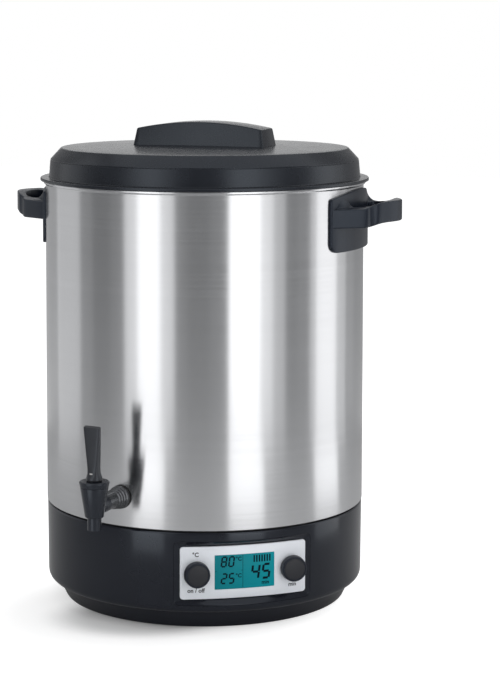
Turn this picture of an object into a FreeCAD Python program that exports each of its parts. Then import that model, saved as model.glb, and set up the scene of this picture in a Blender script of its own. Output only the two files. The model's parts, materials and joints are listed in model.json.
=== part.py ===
import FreeCAD, Part
import math
import os
import re

import Sketcher

# An upright stainless vessel on an electric base, with a lift-off lid, a drain tap and a control panel.
# Millimetres and degrees. The origin is on the vessel's axis at table level, +Z is up, the side handles
# point along X and the front is -Y. A part of the panel or of the tap is drawn facing -Y and then turned
# about the vessel's axis to its own bearing.

SIZES = {
    # clearances
    "fit_gap": 0.1,
    "running_gap": 0.05,
    "body_gap": 0.3,
    # vessel
    "vessel_radius": 168.0,
    "wall_thickness": 0.8,
    "rim_height": 441.2,
    "bead_tall": 2.8,
    "bead_reach": 2.0,
    "bead_round": 1.2,
    "seam_height": 103.9,
    "floor_height": 119.0,
    "floor_thickness": 1.2,
    "floor_flange": 13.0,
    # seam gasket and base
    "gasket_thickness": 1.8,
    "gasket_width": 6.5,
    "base_inset": 0.5,
    "base_draft": 0.7,
    "base_wall": 3.0,
    "top_round": 2.5,
    "base_round": 8.5,
    "step_height": 19.5,
    "foot_step": 10.0,
    "foot_taper": 9.0,
    "foot_clear": 1.5,
    "plate_height": 7.0,
    "floor_plate": 2.0,
    "boss_radius": 8.0,
    "boss_inset": 25.0,
    "boss_turn": 15.0,
    "boss_tall": 14.0,
    "boss_count": 6,
    "screw_radius": 2.0,
    "screw_head_radius": 4.0,
    "screw_head_tall": 2.5,
    "screw_length": 12.0,
    "foot_pad_radius": 9.0,
    "foot_pad_circle": 118.0,
    "foot_pad_count": 4,
    # cord gland
    "gland_height": 48.0,
    "gland_bore": 3.6,
    "gland_body": 8.0,
    "gland_flange": 11.5,
    "gland_flange_tall": 3.0,
    "gland_length": 20.0,
    "gland_nut_radius": 12.0,
    "gland_nut_tall": 5.0,
    # heater stack
    "heat_plate_radius": 122.0,
    "heat_plate_tall": 7.0,
    "element_radius": 92.0,
    "element_tube": 4.0,
    "element_sweep": 330.0,
    "element_pin_radius": 2.5,
    "element_pin_length": 14.0,
    "shield_inset": 19.5,
    "shield_drop": 21.0,
    "shield_thickness": 1.0,
    "shield_rim": 8.0,
    "stud_radius": 4.0,
    "stud_end": 3.0,
    "sleeve_radius": 7.5,
    "nut_flats": 13.0,
    "nut_tall": 5.0,
    "cutout_radius": 8.0,
    "cutout_tall": 9.0,
    "cutout_offset": 45.0,
    "sensor_radius": 4.0,
    "sensor_tall": 13.0,
    # power electronics on the base plate
    "power_board_length": 110.0,
    "power_board_width": 70.0,
    "board_thickness": 1.6,
    "power_board_back": 70.0,
    "post_radius": 4.0,
    "post_tall": 10.0,
    "post_inset": 7.0,
    "transformer_side": 40.0,
    "transformer_tall": 32.0,
    "relay_length": 29.0,
    "relay_width": 16.0,
    "relay_tall": 20.0,
    "terminal_length": 44.0,
    "terminal_width": 15.0,
    "terminal_tall": 17.0,
    "board_part_space": 6.0,
    # control panel
    "panel_bearing": 33.5,
    "panel_height": 60.5,
    "fascia_width": 130.0,
    "fascia_tall": 53.0,
    "fascia_thickness": 2.0,
    "fascia_bend": 300.0,
    "fascia_set": 6.5,
    "bezel_border": 6.0,
    "bezel_deep": 12.0,
    "lcd_width": 62.0,
    "lcd_tall": 35.0,
    "lcd_thickness": 1.4,
    "module_border": 3.0,
    "module_thick": 6.0,
    "board_set": 15.0,
    "board_border": 4.0,
    "knob_offset": 50.0,
    "knob_radius": 13.1,
    "knob_tall": 8.2,
    "knob_clear": 0.9,
    "knob_edge": 0.8,
    "knob_socket": 6.0,
    "press_travel": 0.6,
    "shaft_radius": 3.0,
    "encoder_side": 14.0,
    "encoder_thick": 6.6,
    "bush_radius": 3.8,
    "bush_length": 5.4,
    "plunger_radius": 2.4,
    "plunger_length": 2.0,
    "board_post_radius": 3.0,
    "board_post_inset": 7.0,
    # tap
    "tap_bearing": -11.0,
    "tap_height": 133.5,
    "tap_stand": 48.0,
    "shank_radius": 8.0,
    "shank_bore": 5.0,
    "shank_tail": 10.0,
    "collar_radius": 12.25,
    "collar_thick": 5.0,
    "neck_radius": 9.0,
    "tap_gasket_radius": 13.0,
    "tap_gasket_thick": 2.5,
    "locknut_flats": 24.0,
    "locknut_thick": 7.0,
    "socket_length": 17.0,
    "bonnet_height": 159.0,
    "bonnet_tall": 6.0,
    "bonnet_radius": 15.2,
    "tap_top_radius": 14.0,
    "tap_low_radius": 9.2,
    "tap_low_height": 122.0,
    "spout_radius": 7.0,
    "spout_end": 110.0,
    "spout_bore": 4.5,
    "cavity_radius": 7.2,
    "seat_thick": 1.5,
    "stem_radius": 2.5,
    "cup_radius": 6.5,
    "cup_tall": 5.0,
    "spring_radius": 5.0,
    "spring_wire": 1.0,
    "lever_top": 213.0,
    "lever_top_width": 18.5,
    "lever_top_thick": 4.5,
    "lever_neck_width": 12.0,
    "lever_neck_thick": 10.0,
    "lever_waist_height": 174.0,
    "lever_foot_radius": 8.0,
    "lever_foot_tall": 3.5,
    "lever_pin_radius": 1.5,
    "lever_pin_rise": 4.7,
    "fulcrum_radius": 1.0,
    "fulcrum_rise": 0.6,
    "fulcrum_inset": 1.0,
    "tongue_thick": 3.2,
    "tongue_front": 5.8,
    "tongue_back": 3.4,
    "tongue_tall": 8.0,
    "tongue_slack": 0.4,
    "lever_slot_tall": 13.0,
    "pin_swing": 3.4,
    # side handles
    "escutcheon_half": 67.0,
    "escutcheon_low_drop": 67.2,
    "escutcheon_high_drop": 7.2,
    "escutcheon_thick": 5.0,
    "arm_low_drop": 45.2,
    "arm_high_drop": 24.2,
    "arm_root_half": 57.0,
    "arm_tip_half": 47.0,
    "arm_stand": 21.0,
    "grip_low_drop": 39.2,
    "grip_high_drop": 17.2,
    "grip_half": 24.0,
    "grip_stand": 47.0,
    "grip_crown": 2.0,
    "finger_half": 33.0,
    "finger_tip_half": 22.0,
    "finger_gap": 12.0,
    "grip_wall": 14.0,
    "handle_screw_half": 44.0,
    "handle_screw_radius": 2.5,
    "handle_screw_head": 5.0,
    "handle_screw_length": 12.0,
    # lid
    "brim_reach": 5.4,
    "brim_tall": 3.2,
    "lid_thickness": 2.5,
    "skirt_inset": 5.3,
    "skirt_rise": 22.2,
    "crown_inset": 11.2,
    "crown_edge_rise": 34.2,
    "crown_rise": 36.8,
    "lip_inset": 2.0,
    "lid_lip_drop": 9.0,
    "bar_length": 144.0,
    "bar_width": 47.0,
    "bar_top_length": 130.0,
    "bar_top_width": 36.0,
    "bar_arch": 330.0,
    "bar_tall": 26.0,
    "bar_sink": 1.5,
    "bar_screw_offset": 45.0,
    # rack
    "rack_inset": 20.0,
    "rack_thickness": 2.0,
    "rack_rise": 8.0,
    "rack_leg_radius": 4.0,
    "rack_leg_circle": 128.0,
    "rack_leg_count": 3,
    "rack_hole_radius": 12.0,
    "rack_rings": 4,
    "rack_ring_step": 32.0,
    "rack_finger_radius": 16.0,
}

# Sizes that follow from others: what hangs from the rim keeps its drop below it, what stands on it keeps
# its rise, and what stands on or inside the wall follows the radius of the wall.
DERIVED = {
    "base_radius": "vessel_radius - base_inset",
    "fascia_depth": "base_radius - fascia_set",
    "board_depth": "fascia_depth - board_set",
    "shield_radius": "base_radius - shield_inset",
    "tap_reach": "vessel_radius + tap_stand",
    "brim_radius": "vessel_radius + brim_reach",
    "skirt_radius": "vessel_radius - skirt_inset",
    "lid_lip_radius": "vessel_radius - lip_inset",
    "rack_radius": "vessel_radius - rack_inset",
    "foot_top_radius": "base_radius - foot_step",
    "foot_radius": "foot_top_radius - foot_taper",
    "boss_circle": "base_radius - boss_inset",
    "escutcheon_low": "rim_height - escutcheon_low_drop",
    "escutcheon_high": "rim_height - escutcheon_high_drop",
    "arm_low": "rim_height - arm_low_drop",
    "arm_high": "rim_height - arm_high_drop",
    "arm_tip_reach": "vessel_radius + arm_stand",
    "grip_low": "rim_height - grip_low_drop",
    "grip_high": "rim_height - grip_high_drop",
    "grip_reach": "vessel_radius + grip_stand",
    "finger_inner": "vessel_radius + finger_gap",
    "finger_outer": "grip_reach - grip_wall",
    "skirt_top": "rim_height + skirt_rise",
    "crown_radius": "skirt_radius - crown_inset",
    "crown_edge": "rim_height + crown_edge_rise",
    "crown_top": "rim_height + crown_rise",
}
CELLS = {alias: str(number) for alias, number in SIZES.items()}
CELLS.update({alias: f"={formula}" for alias, formula in DERIVED.items()})

doc = FreeCAD.newDocument("cooker")
sheet = doc.addObject("Spreadsheet::Sheet", "sizes")
for row, alias in enumerate(CELLS, 1):
    sheet.set(f"A{row}", alias)
    sheet.setAlias(f"B{row}", alias)
for row, content in enumerate(CELLS.values(), 1):
    sheet.set(f"B{row}", content)
doc.recompute()

UP = FreeCAD.Vector(0, 0, 1)
RIGHT = FreeCAD.Vector(1, 0, 0)
EDGE_MATCH = 0.001
nodes = {}
places = {}


def value(formula):
    """The number that a formula of sizes comes to."""
    return float(sheet.evalExpression(str(formula)))


def bound(formula):
    """The formula as an expression that reads each size from the sheet."""
    return re.sub(r"[a-z][a-z_]*", lambda word: f"sizes.{word[0]}" if word[0] in CELLS else word[0],
                  str(formula))


def bind(thing, **formulas):
    for name, formula in formulas.items():
        thing.setExpression(name.replace("__", "."), bound(formula))


def node(label, thing):
    """Name a finished sub-part."""
    thing.Label = label
    nodes[label] = thing
    return thing


def scratch_name(kind):
    return f"{kind}_{len(doc.Objects)}"


def origin_plane(body, role):
    return next(plane for plane in body.Origin.OriginFeatures if plane.Role == role)


def draw(sketch, outline):
    """Draw a closed outline of straight runs between (across, up) formulas."""
    points = [FreeCAD.Vector(value(across), value(up), 0) for across, up in outline]
    count = len(points)
    for index, start in enumerate(points):
        sketch.addGeometry(Part.LineSegment(start, points[(index + 1) % count]), False)
    for index in range(count):
        sketch.addConstraint(Sketcher.Constraint("Coincident", index, 2, (index + 1) % count, 1))
    for index, (across, up) in enumerate(outline):
        for kind, formula, axis in (("DistanceX", across, -2), ("DistanceY", up, -1)):
            if formula == "0":
                sketch.addConstraint(Sketcher.Constraint("PointOnObject", index, 1, axis))
                continue
            number = sketch.addConstraint(Sketcher.Constraint(kind, -1, 1, index, 1, value(formula)))
            sketch.setExpression(f"Constraints[{number}]", bound(formula))


def sketch_on(body, role, outline, lift="0"):
    sketch = body.newObject("Sketcher::SketchObject", scratch_name("outline"))
    sketch.AttachmentSupport = [(origin_plane(body, role), "")]
    sketch.MapMode = "FlatFace"
    bind(sketch, AttachmentOffset__Base__z=lift)
    draw(sketch, outline)
    return sketch


def turned(outline):
    """A body turned about its own Z axis from an outline of (radius, height)."""
    body = doc.addObject("PartDesign::Body", scratch_name("turned"))
    sketch = sketch_on(body, "XZ_Plane", outline)
    turn = body.newObject("PartDesign::Revolution", scratch_name("turn"))
    turn.Profile = sketch
    turn.ReferenceAxis = (sketch, ["V_Axis"])
    turn.Angle = 360
    return body


def rounded(body, *corners):
    """Round the turned edges that lie at (radius, height), each to its own fillet radius."""
    for radius, height, fillet in corners:
        doc.recompute()
        feature = body.Tip
        wanted = FreeCAD.Vector(value(radius), 0, value(height))
        names = [
            f"Edge{index}" for index, edge in enumerate(feature.Shape.Edges, 1)
            if isinstance(edge.Curve, Part.Circle)
            and abs(edge.Curve.Radius - wanted.x) < EDGE_MATCH
            and abs(edge.Curve.Center.z - wanted.z) < EDGE_MATCH]
        if not names:
            raise RuntimeError(f"no edge at {radius}, {height}")
        bead = body.newObject("PartDesign::Fillet", scratch_name("round"))
        bead.Base = (feature, names)
        bind(bead, Radius=fillet)
    return body


def padded(role, outline, length, lift="0", midplane=False):
    """A body padded from one outline on an origin plane."""
    body = doc.addObject("PartDesign::Body", scratch_name("padded"))
    pad_sketch = sketch_on(body, role, outline, lift)
    pad = body.newObject("PartDesign::Pad", scratch_name("pad"))
    pad.Profile = pad_sketch
    pad.Midplane = midplane
    bind(pad, Length=length)
    return body


def put(thing, at):
    """Place a primitive at three formulas and remember them."""
    places[thing.Name] = at
    bind(thing, Placement__Base__x=at[0], Placement__Base__y=at[1], Placement__Base__z=at[2])
    return thing


def block(across, deep, tall, left, front, low):
    box = doc.addObject("Part::Box", scratch_name("block"))
    bind(box, Length=across, Width=deep, Height=tall)
    return put(box, (left, front, low))


def centred_block(across, deep, tall, front, low, middle="0"):
    return block(across, deep, tall, f"{middle} - ({across}) / 2", front, low)


def rod(radius, length, at, towards=UP):
    """A cylinder from a point, given as three formulas, along a direction."""
    cylinder = doc.addObject("Part::Cylinder", scratch_name("rod"))
    cylinder.Placement = FreeCAD.Placement(FreeCAD.Vector(), FreeCAD.Rotation(UP, towards))
    bind(cylinder, Radius=radius, Height=length)
    return put(cylinder, at)


def hexagon(flats, length, at, towards=UP):
    prism = doc.addObject("Part::Prism", scratch_name("hexagon"))
    prism.Polygon = 6
    prism.Placement = FreeCAD.Placement(FreeCAD.Vector(), FreeCAD.Rotation(UP, towards))
    bind(prism, Circumradius=f"({flats}) / sqrt(3)", Height=length)
    return put(prism, at)


def fused(*pieces):
    union = doc.addObject("Part::MultiFuse", scratch_name("fused"))
    union.Shapes = list(pieces)
    return union


def shared(base, tool):
    both = doc.addObject("Part::Common", scratch_name("shared"))
    both.Base = base
    both.Tool = tool
    return both


def cut(base, *tools):
    less = doc.addObject("Part::Cut", scratch_name("cut"))
    less.Base = base
    less.Tool = tools[0] if len(tools) == 1 else fused(*tools)
    return less


def group(*pieces):
    several = doc.addObject("Part::Compound", scratch_name("group"))
    several.Links = list(pieces)
    return several


def ring_of(count, circle, first=0.0):
    """Formulas for the places of a ring of points, with their bearings from +X."""
    for step in range(int(value(count))):
        bearing = first + 360.0 * step / value(count)
        yield f"({circle}) * cos({bearing})", f"({circle}) * sin({bearing})", bearing


def bearing_placement(bearing):
    return FreeCAD.Placement(FreeCAD.Vector(), FreeCAD.Rotation(UP, value(bearing)))


def facing(thing, bearing):
    """Turn a piece drawn at the front to its own bearing round the vessel."""
    thing.Placement = bearing_placement(bearing).multiply(thing.Placement)
    if thing.Name in places:
        x, y, z = places[thing.Name]
        put(thing, (f"({x}) * cos({bearing}) - ({y}) * sin({bearing})",
                    f"({x}) * sin({bearing}) + ({y}) * cos({bearing})", z))
    return thing


def pointing_out(body, bearing, across="0", height="0"):
    """Lay a turned body on its side, its axis running outwards from the vessel's axis at this height."""
    laid = FreeCAD.Placement(
        FreeCAD.Vector(value(across), 0, value(height)), FreeCAD.Rotation(RIGHT, 90))
    body.Placement = bearing_placement(bearing).multiply(laid)
    return body


OUT = FreeCAD.Vector(0, -1, 0)
BACK = FreeCAD.Vector(0, 1, 0)


# Vessel

def wall_outline():
    inner = "vessel_radius - wall_thickness"
    bead = "vessel_radius + bead_reach"
    low = "rim_height - bead_tall"
    return [
        (inner, "seam_height"),
        ("vessel_radius", "seam_height"),
        ("vessel_radius", low),
        (bead, low),
        (bead, "rim_height"),
        (inner, "rim_height"),
    ]


def handle_screw_tools(radius, start, length, low):
    """Rods along X at every handle screw, out through the vessel's wall on both sides."""
    rods = []
    for side in (1, -1):
        for place in ("handle_screw_half", "-handle_screw_half"):
            at = (f"{side} * ({start})", place, low)
            rods.append(rod(radius, length, at, RIGHT * side))
    return rods


SCREW_LEVEL = "(arm_low + arm_high) / 2"
SCREW_SEAT = "sqrt((vessel_radius - wall_thickness)^2 - (handle_screw_half + handle_screw_head)^2) - fit_gap"


def make_vessel():
    tap_hole = facing(
        rod("shank_radius + fit_gap", "tap_reach", ("0", "0", "tap_height"), OUT), "tap_bearing")
    screw_holes = handle_screw_tools(
        "handle_screw_radius + fit_gap", SCREW_SEAT, "handle_screw_length", SCREW_LEVEL)
    bead = "vessel_radius + bead_reach"
    shell = rounded(turned(wall_outline()),
                    (bead, "rim_height - bead_tall", "bead_round"), (bead, "rim_height", "bead_round"))
    node("vessel_wall", cut(shell, tap_hole, *screw_holes))

    edge = "vessel_radius - wall_thickness - fit_gap"
    node("vessel_bottom", turned([
        ("0", "floor_height - floor_thickness"),
        (f"{edge} - floor_thickness", "floor_height - floor_thickness"),
        (f"{edge} - floor_thickness", "floor_height - floor_flange"),
        (edge, "floor_height - floor_flange"),
        (edge, "floor_height"),
        ("0", "floor_height"),
    ]))


# Base with its gasket, floor plate, feet and cord gland

CUT_START = "-1.8 * base_radius"
BASE_TOP = "seam_height - gasket_thickness"
INNER_DRAFT = "base_radius - base_draft - base_wall"
FOOT_SLOPE = "(foot_top_radius - foot_radius) / (step_height + base_wall - foot_clear)"


def base_outline():
    seat = "base_radius - base_wall - gasket_width"
    return [
        (seat, BASE_TOP),
        ("base_radius", BASE_TOP),
        ("base_radius - base_draft", "step_height"),
        ("foot_top_radius", "step_height"),
        ("foot_radius", "foot_clear"),
        ("foot_radius - base_wall", "foot_clear"),
        ("foot_top_radius - base_wall", "step_height + base_wall"),
        (INNER_DRAFT, "step_height + base_round + base_wall"),
        ("base_radius - base_wall", f"{BASE_TOP} - base_wall"),
        (seat, f"{BASE_TOP} - base_wall"),
    ]


def make_base():
    node("seam_gasket", turned([
        ("base_radius - base_wall - gasket_width", BASE_TOP),
        ("base_radius - top_round", BASE_TOP),
        ("base_radius - top_round", "seam_height"),
        ("base_radius - base_wall - gasket_width", "seam_height"),
    ]))

    plate_top = "plate_height + floor_plate"
    bosses = []
    screw_holes = []
    plate_holes = []
    screws = []
    for x, y, _ in ring_of("boss_count", "boss_circle", value("boss_turn")):
        bosses.append(rod("boss_radius", "boss_tall", (x, y, plate_top)))
        screw_holes.append(rod("screw_radius + fit_gap", "screw_length", (x, y, plate_top)))
        plate_holes.append(rod("screw_radius + fit_gap", "floor_plate", (x, y, "plate_height")))
        head = rod("screw_head_radius", "screw_head_tall", (x, y, "plate_height - screw_head_tall"))
        shank = rod("screw_radius", "screw_length", (x, y, "plate_height"))
        screws.append(fused(head, shank))
    window = facing(centred_block(
        "fascia_width + 2 * bezel_border + 2 * fit_gap", "base_radius",
        "fascia_tall + 2 * bezel_border + 2 * fit_gap", CUT_START,
        "panel_height - fascia_tall / 2 - bezel_border - fit_gap"), "panel_bearing")
    gland_hole = facing(
        rod("gland_body + fit_gap", "base_radius", ("0", "base_radius / 2", "gland_height"), BACK),
        "panel_bearing")
    hollow = rounded(turned(base_outline()), ("base_radius", BASE_TOP, "top_round"),
                     ("base_radius - base_draft", "step_height", "base_round"))
    shell = fused(hollow, *bosses)
    node("base_housing", cut(shell, window, gland_hole, *screw_holes))

    stud_hole = rod("stud_radius + fit_gap", "floor_plate", ("0", "0", "plate_height"))
    edge = f"foot_radius - base_wall + (plate_height - foot_clear) * {FOOT_SLOPE} - fit_gap"
    disc = rod(edge, "floor_plate", ("0", "0", "plate_height"))
    posts = [
        rod("post_radius", "post_tall", (x, y, f"{plate_top} - floor_plate / 2"))
        for x, y in board_corners()]
    node("base_plate", cut(fused(disc, *posts), stud_hole, *plate_holes))
    node("base_screws", group(*screws))
    node("rubber_feet", group(*[
        rod("foot_pad_radius", "plate_height", (x, y, "0"))
        for x, y, _ in ring_of("foot_pad_count", "foot_pad_circle", 45.0)]))

    flange = "base_radius + fit_gap"
    tail = f"{flange} + gland_flange_tall - gland_length"
    gland = node("cord_gland", turned([
        ("gland_bore", tail),
        ("gland_body", tail),
        ("gland_body", flange),
        ("gland_flange", flange),
        ("gland_flange", f"{flange} + gland_flange_tall"),
        ("gland_bore", f"{flange} + gland_flange_tall"),
    ]))
    pointing_out(gland, "panel_bearing + 180", "0", "gland_height")
    nut_seat = "sqrt((base_radius - base_draft - base_wall)^2 - gland_nut_radius^2) - 5 * fit_gap"
    nut = node("gland_nut", turned([
        ("gland_body + fit_gap", f"{nut_seat} - gland_nut_tall"),
        ("gland_nut_radius", f"{nut_seat} - gland_nut_tall"),
        ("gland_nut_radius", nut_seat),
        ("gland_body + fit_gap", nut_seat),
    ]))
    pointing_out(nut, "panel_bearing + 180", "0", "gland_height")


# Heater stack on the centre stud

FLOOR_UNDER = "floor_height - floor_thickness"
HEAT_UNDER = "floor_height - floor_thickness - heat_plate_tall"
SHIELD_LEVEL = "floor_height - floor_thickness - heat_plate_tall - shield_drop"


def make_heater():
    clear = "stud_radius + fit_gap"
    node("heat_plate", turned([
        (clear, HEAT_UNDER),
        ("heat_plate_radius", HEAT_UNDER),
        ("heat_plate_radius", FLOOR_UNDER),
        (clear, FLOOR_UNDER),
    ]))

    tube = doc.addObject("Part::Torus", scratch_name("element"))
    level = f"{HEAT_UNDER} - element_tube - fit_gap"
    bind(tube, Radius1="element_radius", Radius2="element_tube", Angle3="element_sweep")
    bind(tube, Placement__Base__z=level)
    pins = []
    for turn in ("0", "element_sweep"):
        at = (f"element_radius * cos({turn})", f"element_radius * sin({turn})",
              f"{level} - element_pin_length")
        pins.append(rod("element_pin_radius", "element_pin_length", at))
    node("heating_element", fused(tube, *pins))

    node("thermal_cutout", rod("cutout_radius", "cutout_tall",
                               ("cutout_offset", "0", f"{HEAT_UNDER} - cutout_tall")))
    node("temperature_sensor", rod("sensor_radius", "sensor_tall",
                                   ("-cutout_offset", "0", f"{HEAT_UNDER} - sensor_tall")))
    node("heat_shield", turned([
        (clear, SHIELD_LEVEL),
        ("shield_radius", SHIELD_LEVEL),
        ("shield_radius", f"{SHIELD_LEVEL} + shield_rim"),
        ("shield_radius - shield_thickness", f"{SHIELD_LEVEL} + shield_rim"),
        ("shield_radius - shield_thickness", f"{SHIELD_LEVEL} + shield_thickness"),
        (clear, f"{SHIELD_LEVEL} + shield_thickness"),
    ]))
    node("centre_stud", rod("stud_radius", f"{FLOOR_UNDER} - stud_end", ("0", "0", "stud_end")))
    node("stud_sleeve", turned([
        (clear, f"{SHIELD_LEVEL} + shield_thickness"),
        ("sleeve_radius", f"{SHIELD_LEVEL} + shield_thickness"),
        ("sleeve_radius", HEAT_UNDER),
        (clear, HEAT_UNDER),
    ]))
    nuts = []
    for low in (f"{SHIELD_LEVEL} - nut_tall", "plate_height - nut_tall"):
        hole = rod(clear, "nut_tall", ("0", "0", low))
        nuts.append(cut(hexagon("nut_flats", "nut_tall", ("0", "0", low)), hole))
    node("stud_nuts", group(*nuts))


# Power board and the parts on it, at the back of the base

POWER_LEVEL = "plate_height + floor_plate / 2 + post_tall"
PARTS_LEVEL = "plate_height + floor_plate / 2 + post_tall + board_thickness"


def board_corners():
    for across in ("-(power_board_length / 2 - post_inset)", "power_board_length / 2 - post_inset"):
        for deep in ("power_board_back - power_board_width / 2 + post_inset",
                     "power_board_back + power_board_width / 2 - post_inset"):
            yield across, deep


def make_power():
    node("power_board", centred_block(
        "power_board_length", "power_board_width", "board_thickness",
        "power_board_back - power_board_width / 2", POWER_LEVEL))
    left = "-power_board_length / 2 + board_part_space"
    front = "power_board_back - power_board_width / 2 + board_part_space"
    node("transformer", block(
        "transformer_side", "transformer_side", "transformer_tall", left, front, PARTS_LEVEL))
    beside = f"{left} + transformer_side + board_part_space"
    node("relay", block("relay_length", "relay_width", "relay_tall", beside, front, PARTS_LEVEL))
    behind = f"{front} + relay_width + board_part_space"
    node("terminal_block", block(
        "terminal_length", "terminal_width", "terminal_tall", beside, behind, PARTS_LEVEL))


# Control panel, drawn at the front

def bent_plate(width, tall, thickness, depth):
    """A plate bowed outwards about a vertical axis, its middle at this depth from the vessel's axis."""
    axis = ("0", f"fascia_bend - ({depth})", "0")
    outer = rod("fascia_bend", "seam_height", axis)
    inner = rod(f"fascia_bend - ({thickness})", "seam_height", axis)
    reach = centred_block(width, "fascia_depth / 2", tall, "-2 * fascia_depth + fascia_depth * 3 / 4",
                          f"panel_height - ({tall}) / 2")
    return shared(cut(outer, inner), reach)


def bow(across, thickness="0"):
    """How far the fascia's face, or its back, lies behind its middle at a place across it."""
    radius = f"(fascia_bend - ({thickness}))"
    return f"({radius} - sqrt({radius}^2 - ({across})^2))"


KNOB_BACK = f"fascia_depth - {bow('knob_offset - knob_radius')} + knob_clear"
ENCODER_FACE = "board_depth + encoder_thick"


def make_panel():
    frame_width = "fascia_width + 2 * bezel_border"
    frame_tall = "fascia_tall + 2 * bezel_border"
    rim = "base_radius - base_draft"
    low = "panel_height - fascia_tall / 2 - bezel_border"
    ring = cut(rod(rim, frame_tall, ("0", "0", low)),
               rod(f"{rim} - bezel_deep", frame_tall, ("0", "0", low)))
    reach = centred_block(frame_width, "base_radius", frame_tall,
                          CUT_START, low)
    opening = centred_block("fascia_width + 2 * fit_gap", "base_radius", "fascia_tall + 2 * fit_gap",
                            CUT_START,
                            "panel_height - fascia_tall / 2 - fit_gap")
    node("panel_bezel", facing(cut(shared(ring, reach), opening), "panel_bearing"))

    plate = bent_plate("fascia_width", "fascia_tall", "fascia_thickness", "fascia_depth")
    window = centred_block("lcd_width", "fascia_depth / 2", "lcd_tall",
                           "-2 * fascia_depth + fascia_depth * 3 / 4", "panel_height - lcd_tall / 2")
    holes = [
        rod("bush_radius + fit_gap", "fascia_depth", (side, "0", "panel_height"), OUT)
        for side in ("-knob_offset", "knob_offset")]
    posts = []
    for side in ("-1", "1"):
        for level in ("-1", "1"):
            x = f"{side} * (fascia_width / 2 - board_post_inset)"
            z = f"panel_height + {level} * (fascia_tall / 2 - board_post_inset)"
            back = f"fascia_depth - {bow('fascia_width / 2 - board_post_inset')} - fascia_thickness / 2"
            posts.append(rod("board_post_radius", f"{back} - board_depth", (x, "-board_depth", z), OUT))
    node("panel_fascia", facing(cut(fused(plate, *posts), window, *holes), "panel_bearing"))
    node("lcd_window", facing(bent_plate(
        "lcd_width - 2 * fit_gap", "lcd_tall - 2 * fit_gap", "lcd_thickness",
        "fascia_depth - 2 * fit_gap"), "panel_bearing"))

    module_width = "lcd_width + 2 * module_border"
    module_tall = "lcd_tall + 2 * module_border"
    face = f"fascia_depth - fascia_thickness - fit_gap - {bow(f'({module_width}) / 2', 'fascia_thickness')}"
    node("lcd_module", facing(centred_block(
        module_width, "module_thick", module_tall, f"-({face})",
        f"panel_height - ({module_tall}) / 2"), "panel_bearing"))
    node("control_board", facing(centred_block(
        "fascia_width - 2 * board_border", "board_thickness", "fascia_tall - 2 * board_border",
        "-board_depth", "panel_height - fascia_tall / 2 + board_border"), "panel_bearing"))

    for name, across in (("temperature", "-knob_offset"), ("timer", "knob_offset")):
        make_knob(name, across)


def make_knob(name, across):
    """One push-and-turn control: encoder on the board, plunger and shaft inside it, knob outside."""
    box = centred_block("encoder_side", "encoder_thick", "encoder_side", f"-({ENCODER_FACE})",
                        "panel_height - encoder_side / 2", across)
    bush = rod("bush_radius", "bush_length", (across, f"-({ENCODER_FACE})", "panel_height"), OUT)
    bore = rod("shaft_radius + running_gap", "encoder_thick + bush_length",
               (across, "-board_depth", "panel_height"), OUT)
    node(f"{name}_encoder", facing(cut(fused(box, bush), bore), "panel_bearing"))

    plunger_low = "board_depth + press_travel + running_gap"
    shaft_low = f"{plunger_low} + plunger_length + running_gap"
    socket_end = f"{KNOB_BACK} + knob_socket"
    node(f"{name}_plunger", facing(rod(
        "plunger_radius", "plunger_length", (across, f"-({plunger_low})", "panel_height"), OUT),
        "panel_bearing"))
    node(f"{name}_shaft", facing(rod(
        "shaft_radius", f"{socket_end} - ({shaft_low})", (across, f"-({shaft_low})", "panel_height"),
        OUT), "panel_bearing"))
    socket = "shaft_radius + fit_gap / 5"
    knob = node(f"{name}_knob", turned([
        (socket, KNOB_BACK),
        ("knob_radius - knob_edge", KNOB_BACK),
        ("knob_radius", f"{KNOB_BACK} + knob_edge"),
        ("knob_radius", f"{KNOB_BACK} + knob_tall"),
        ("0", f"{KNOB_BACK} + knob_tall"),
        ("0", socket_end),
        (socket, socket_end),
    ]))
    rounded(knob, ("knob_radius", f"{KNOB_BACK} + knob_tall", "knob_edge"))
    pointing_out(knob, "panel_bearing", across, "panel_height")


# Tap, drawn at the front

COLLAR_SEAT = "vessel_radius + fit_gap + tap_gasket_thick"
INNER_SEAT = "sqrt((vessel_radius - wall_thickness)^2 - tap_gasket_radius^2) - fit_gap"
SOCKET_END = "tap_reach - socket_length"
TAP_SHOULDER = "bonnet_height - bonnet_tall"
SEAT_LEVEL = "tap_low_height + seat_thick"
FULCRUM = ("0", "-(tap_reach + lever_foot_radius - fulcrum_inset)", "bonnet_height + fulcrum_rise")
PIN_LEVEL = "bonnet_height + lever_pin_rise"


def washer(inner, outer, start, thick):
    return turned([
        (inner, start), (outer, start), (outer, f"{start} + {thick}"), (inner, f"{start} + {thick}")])


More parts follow.
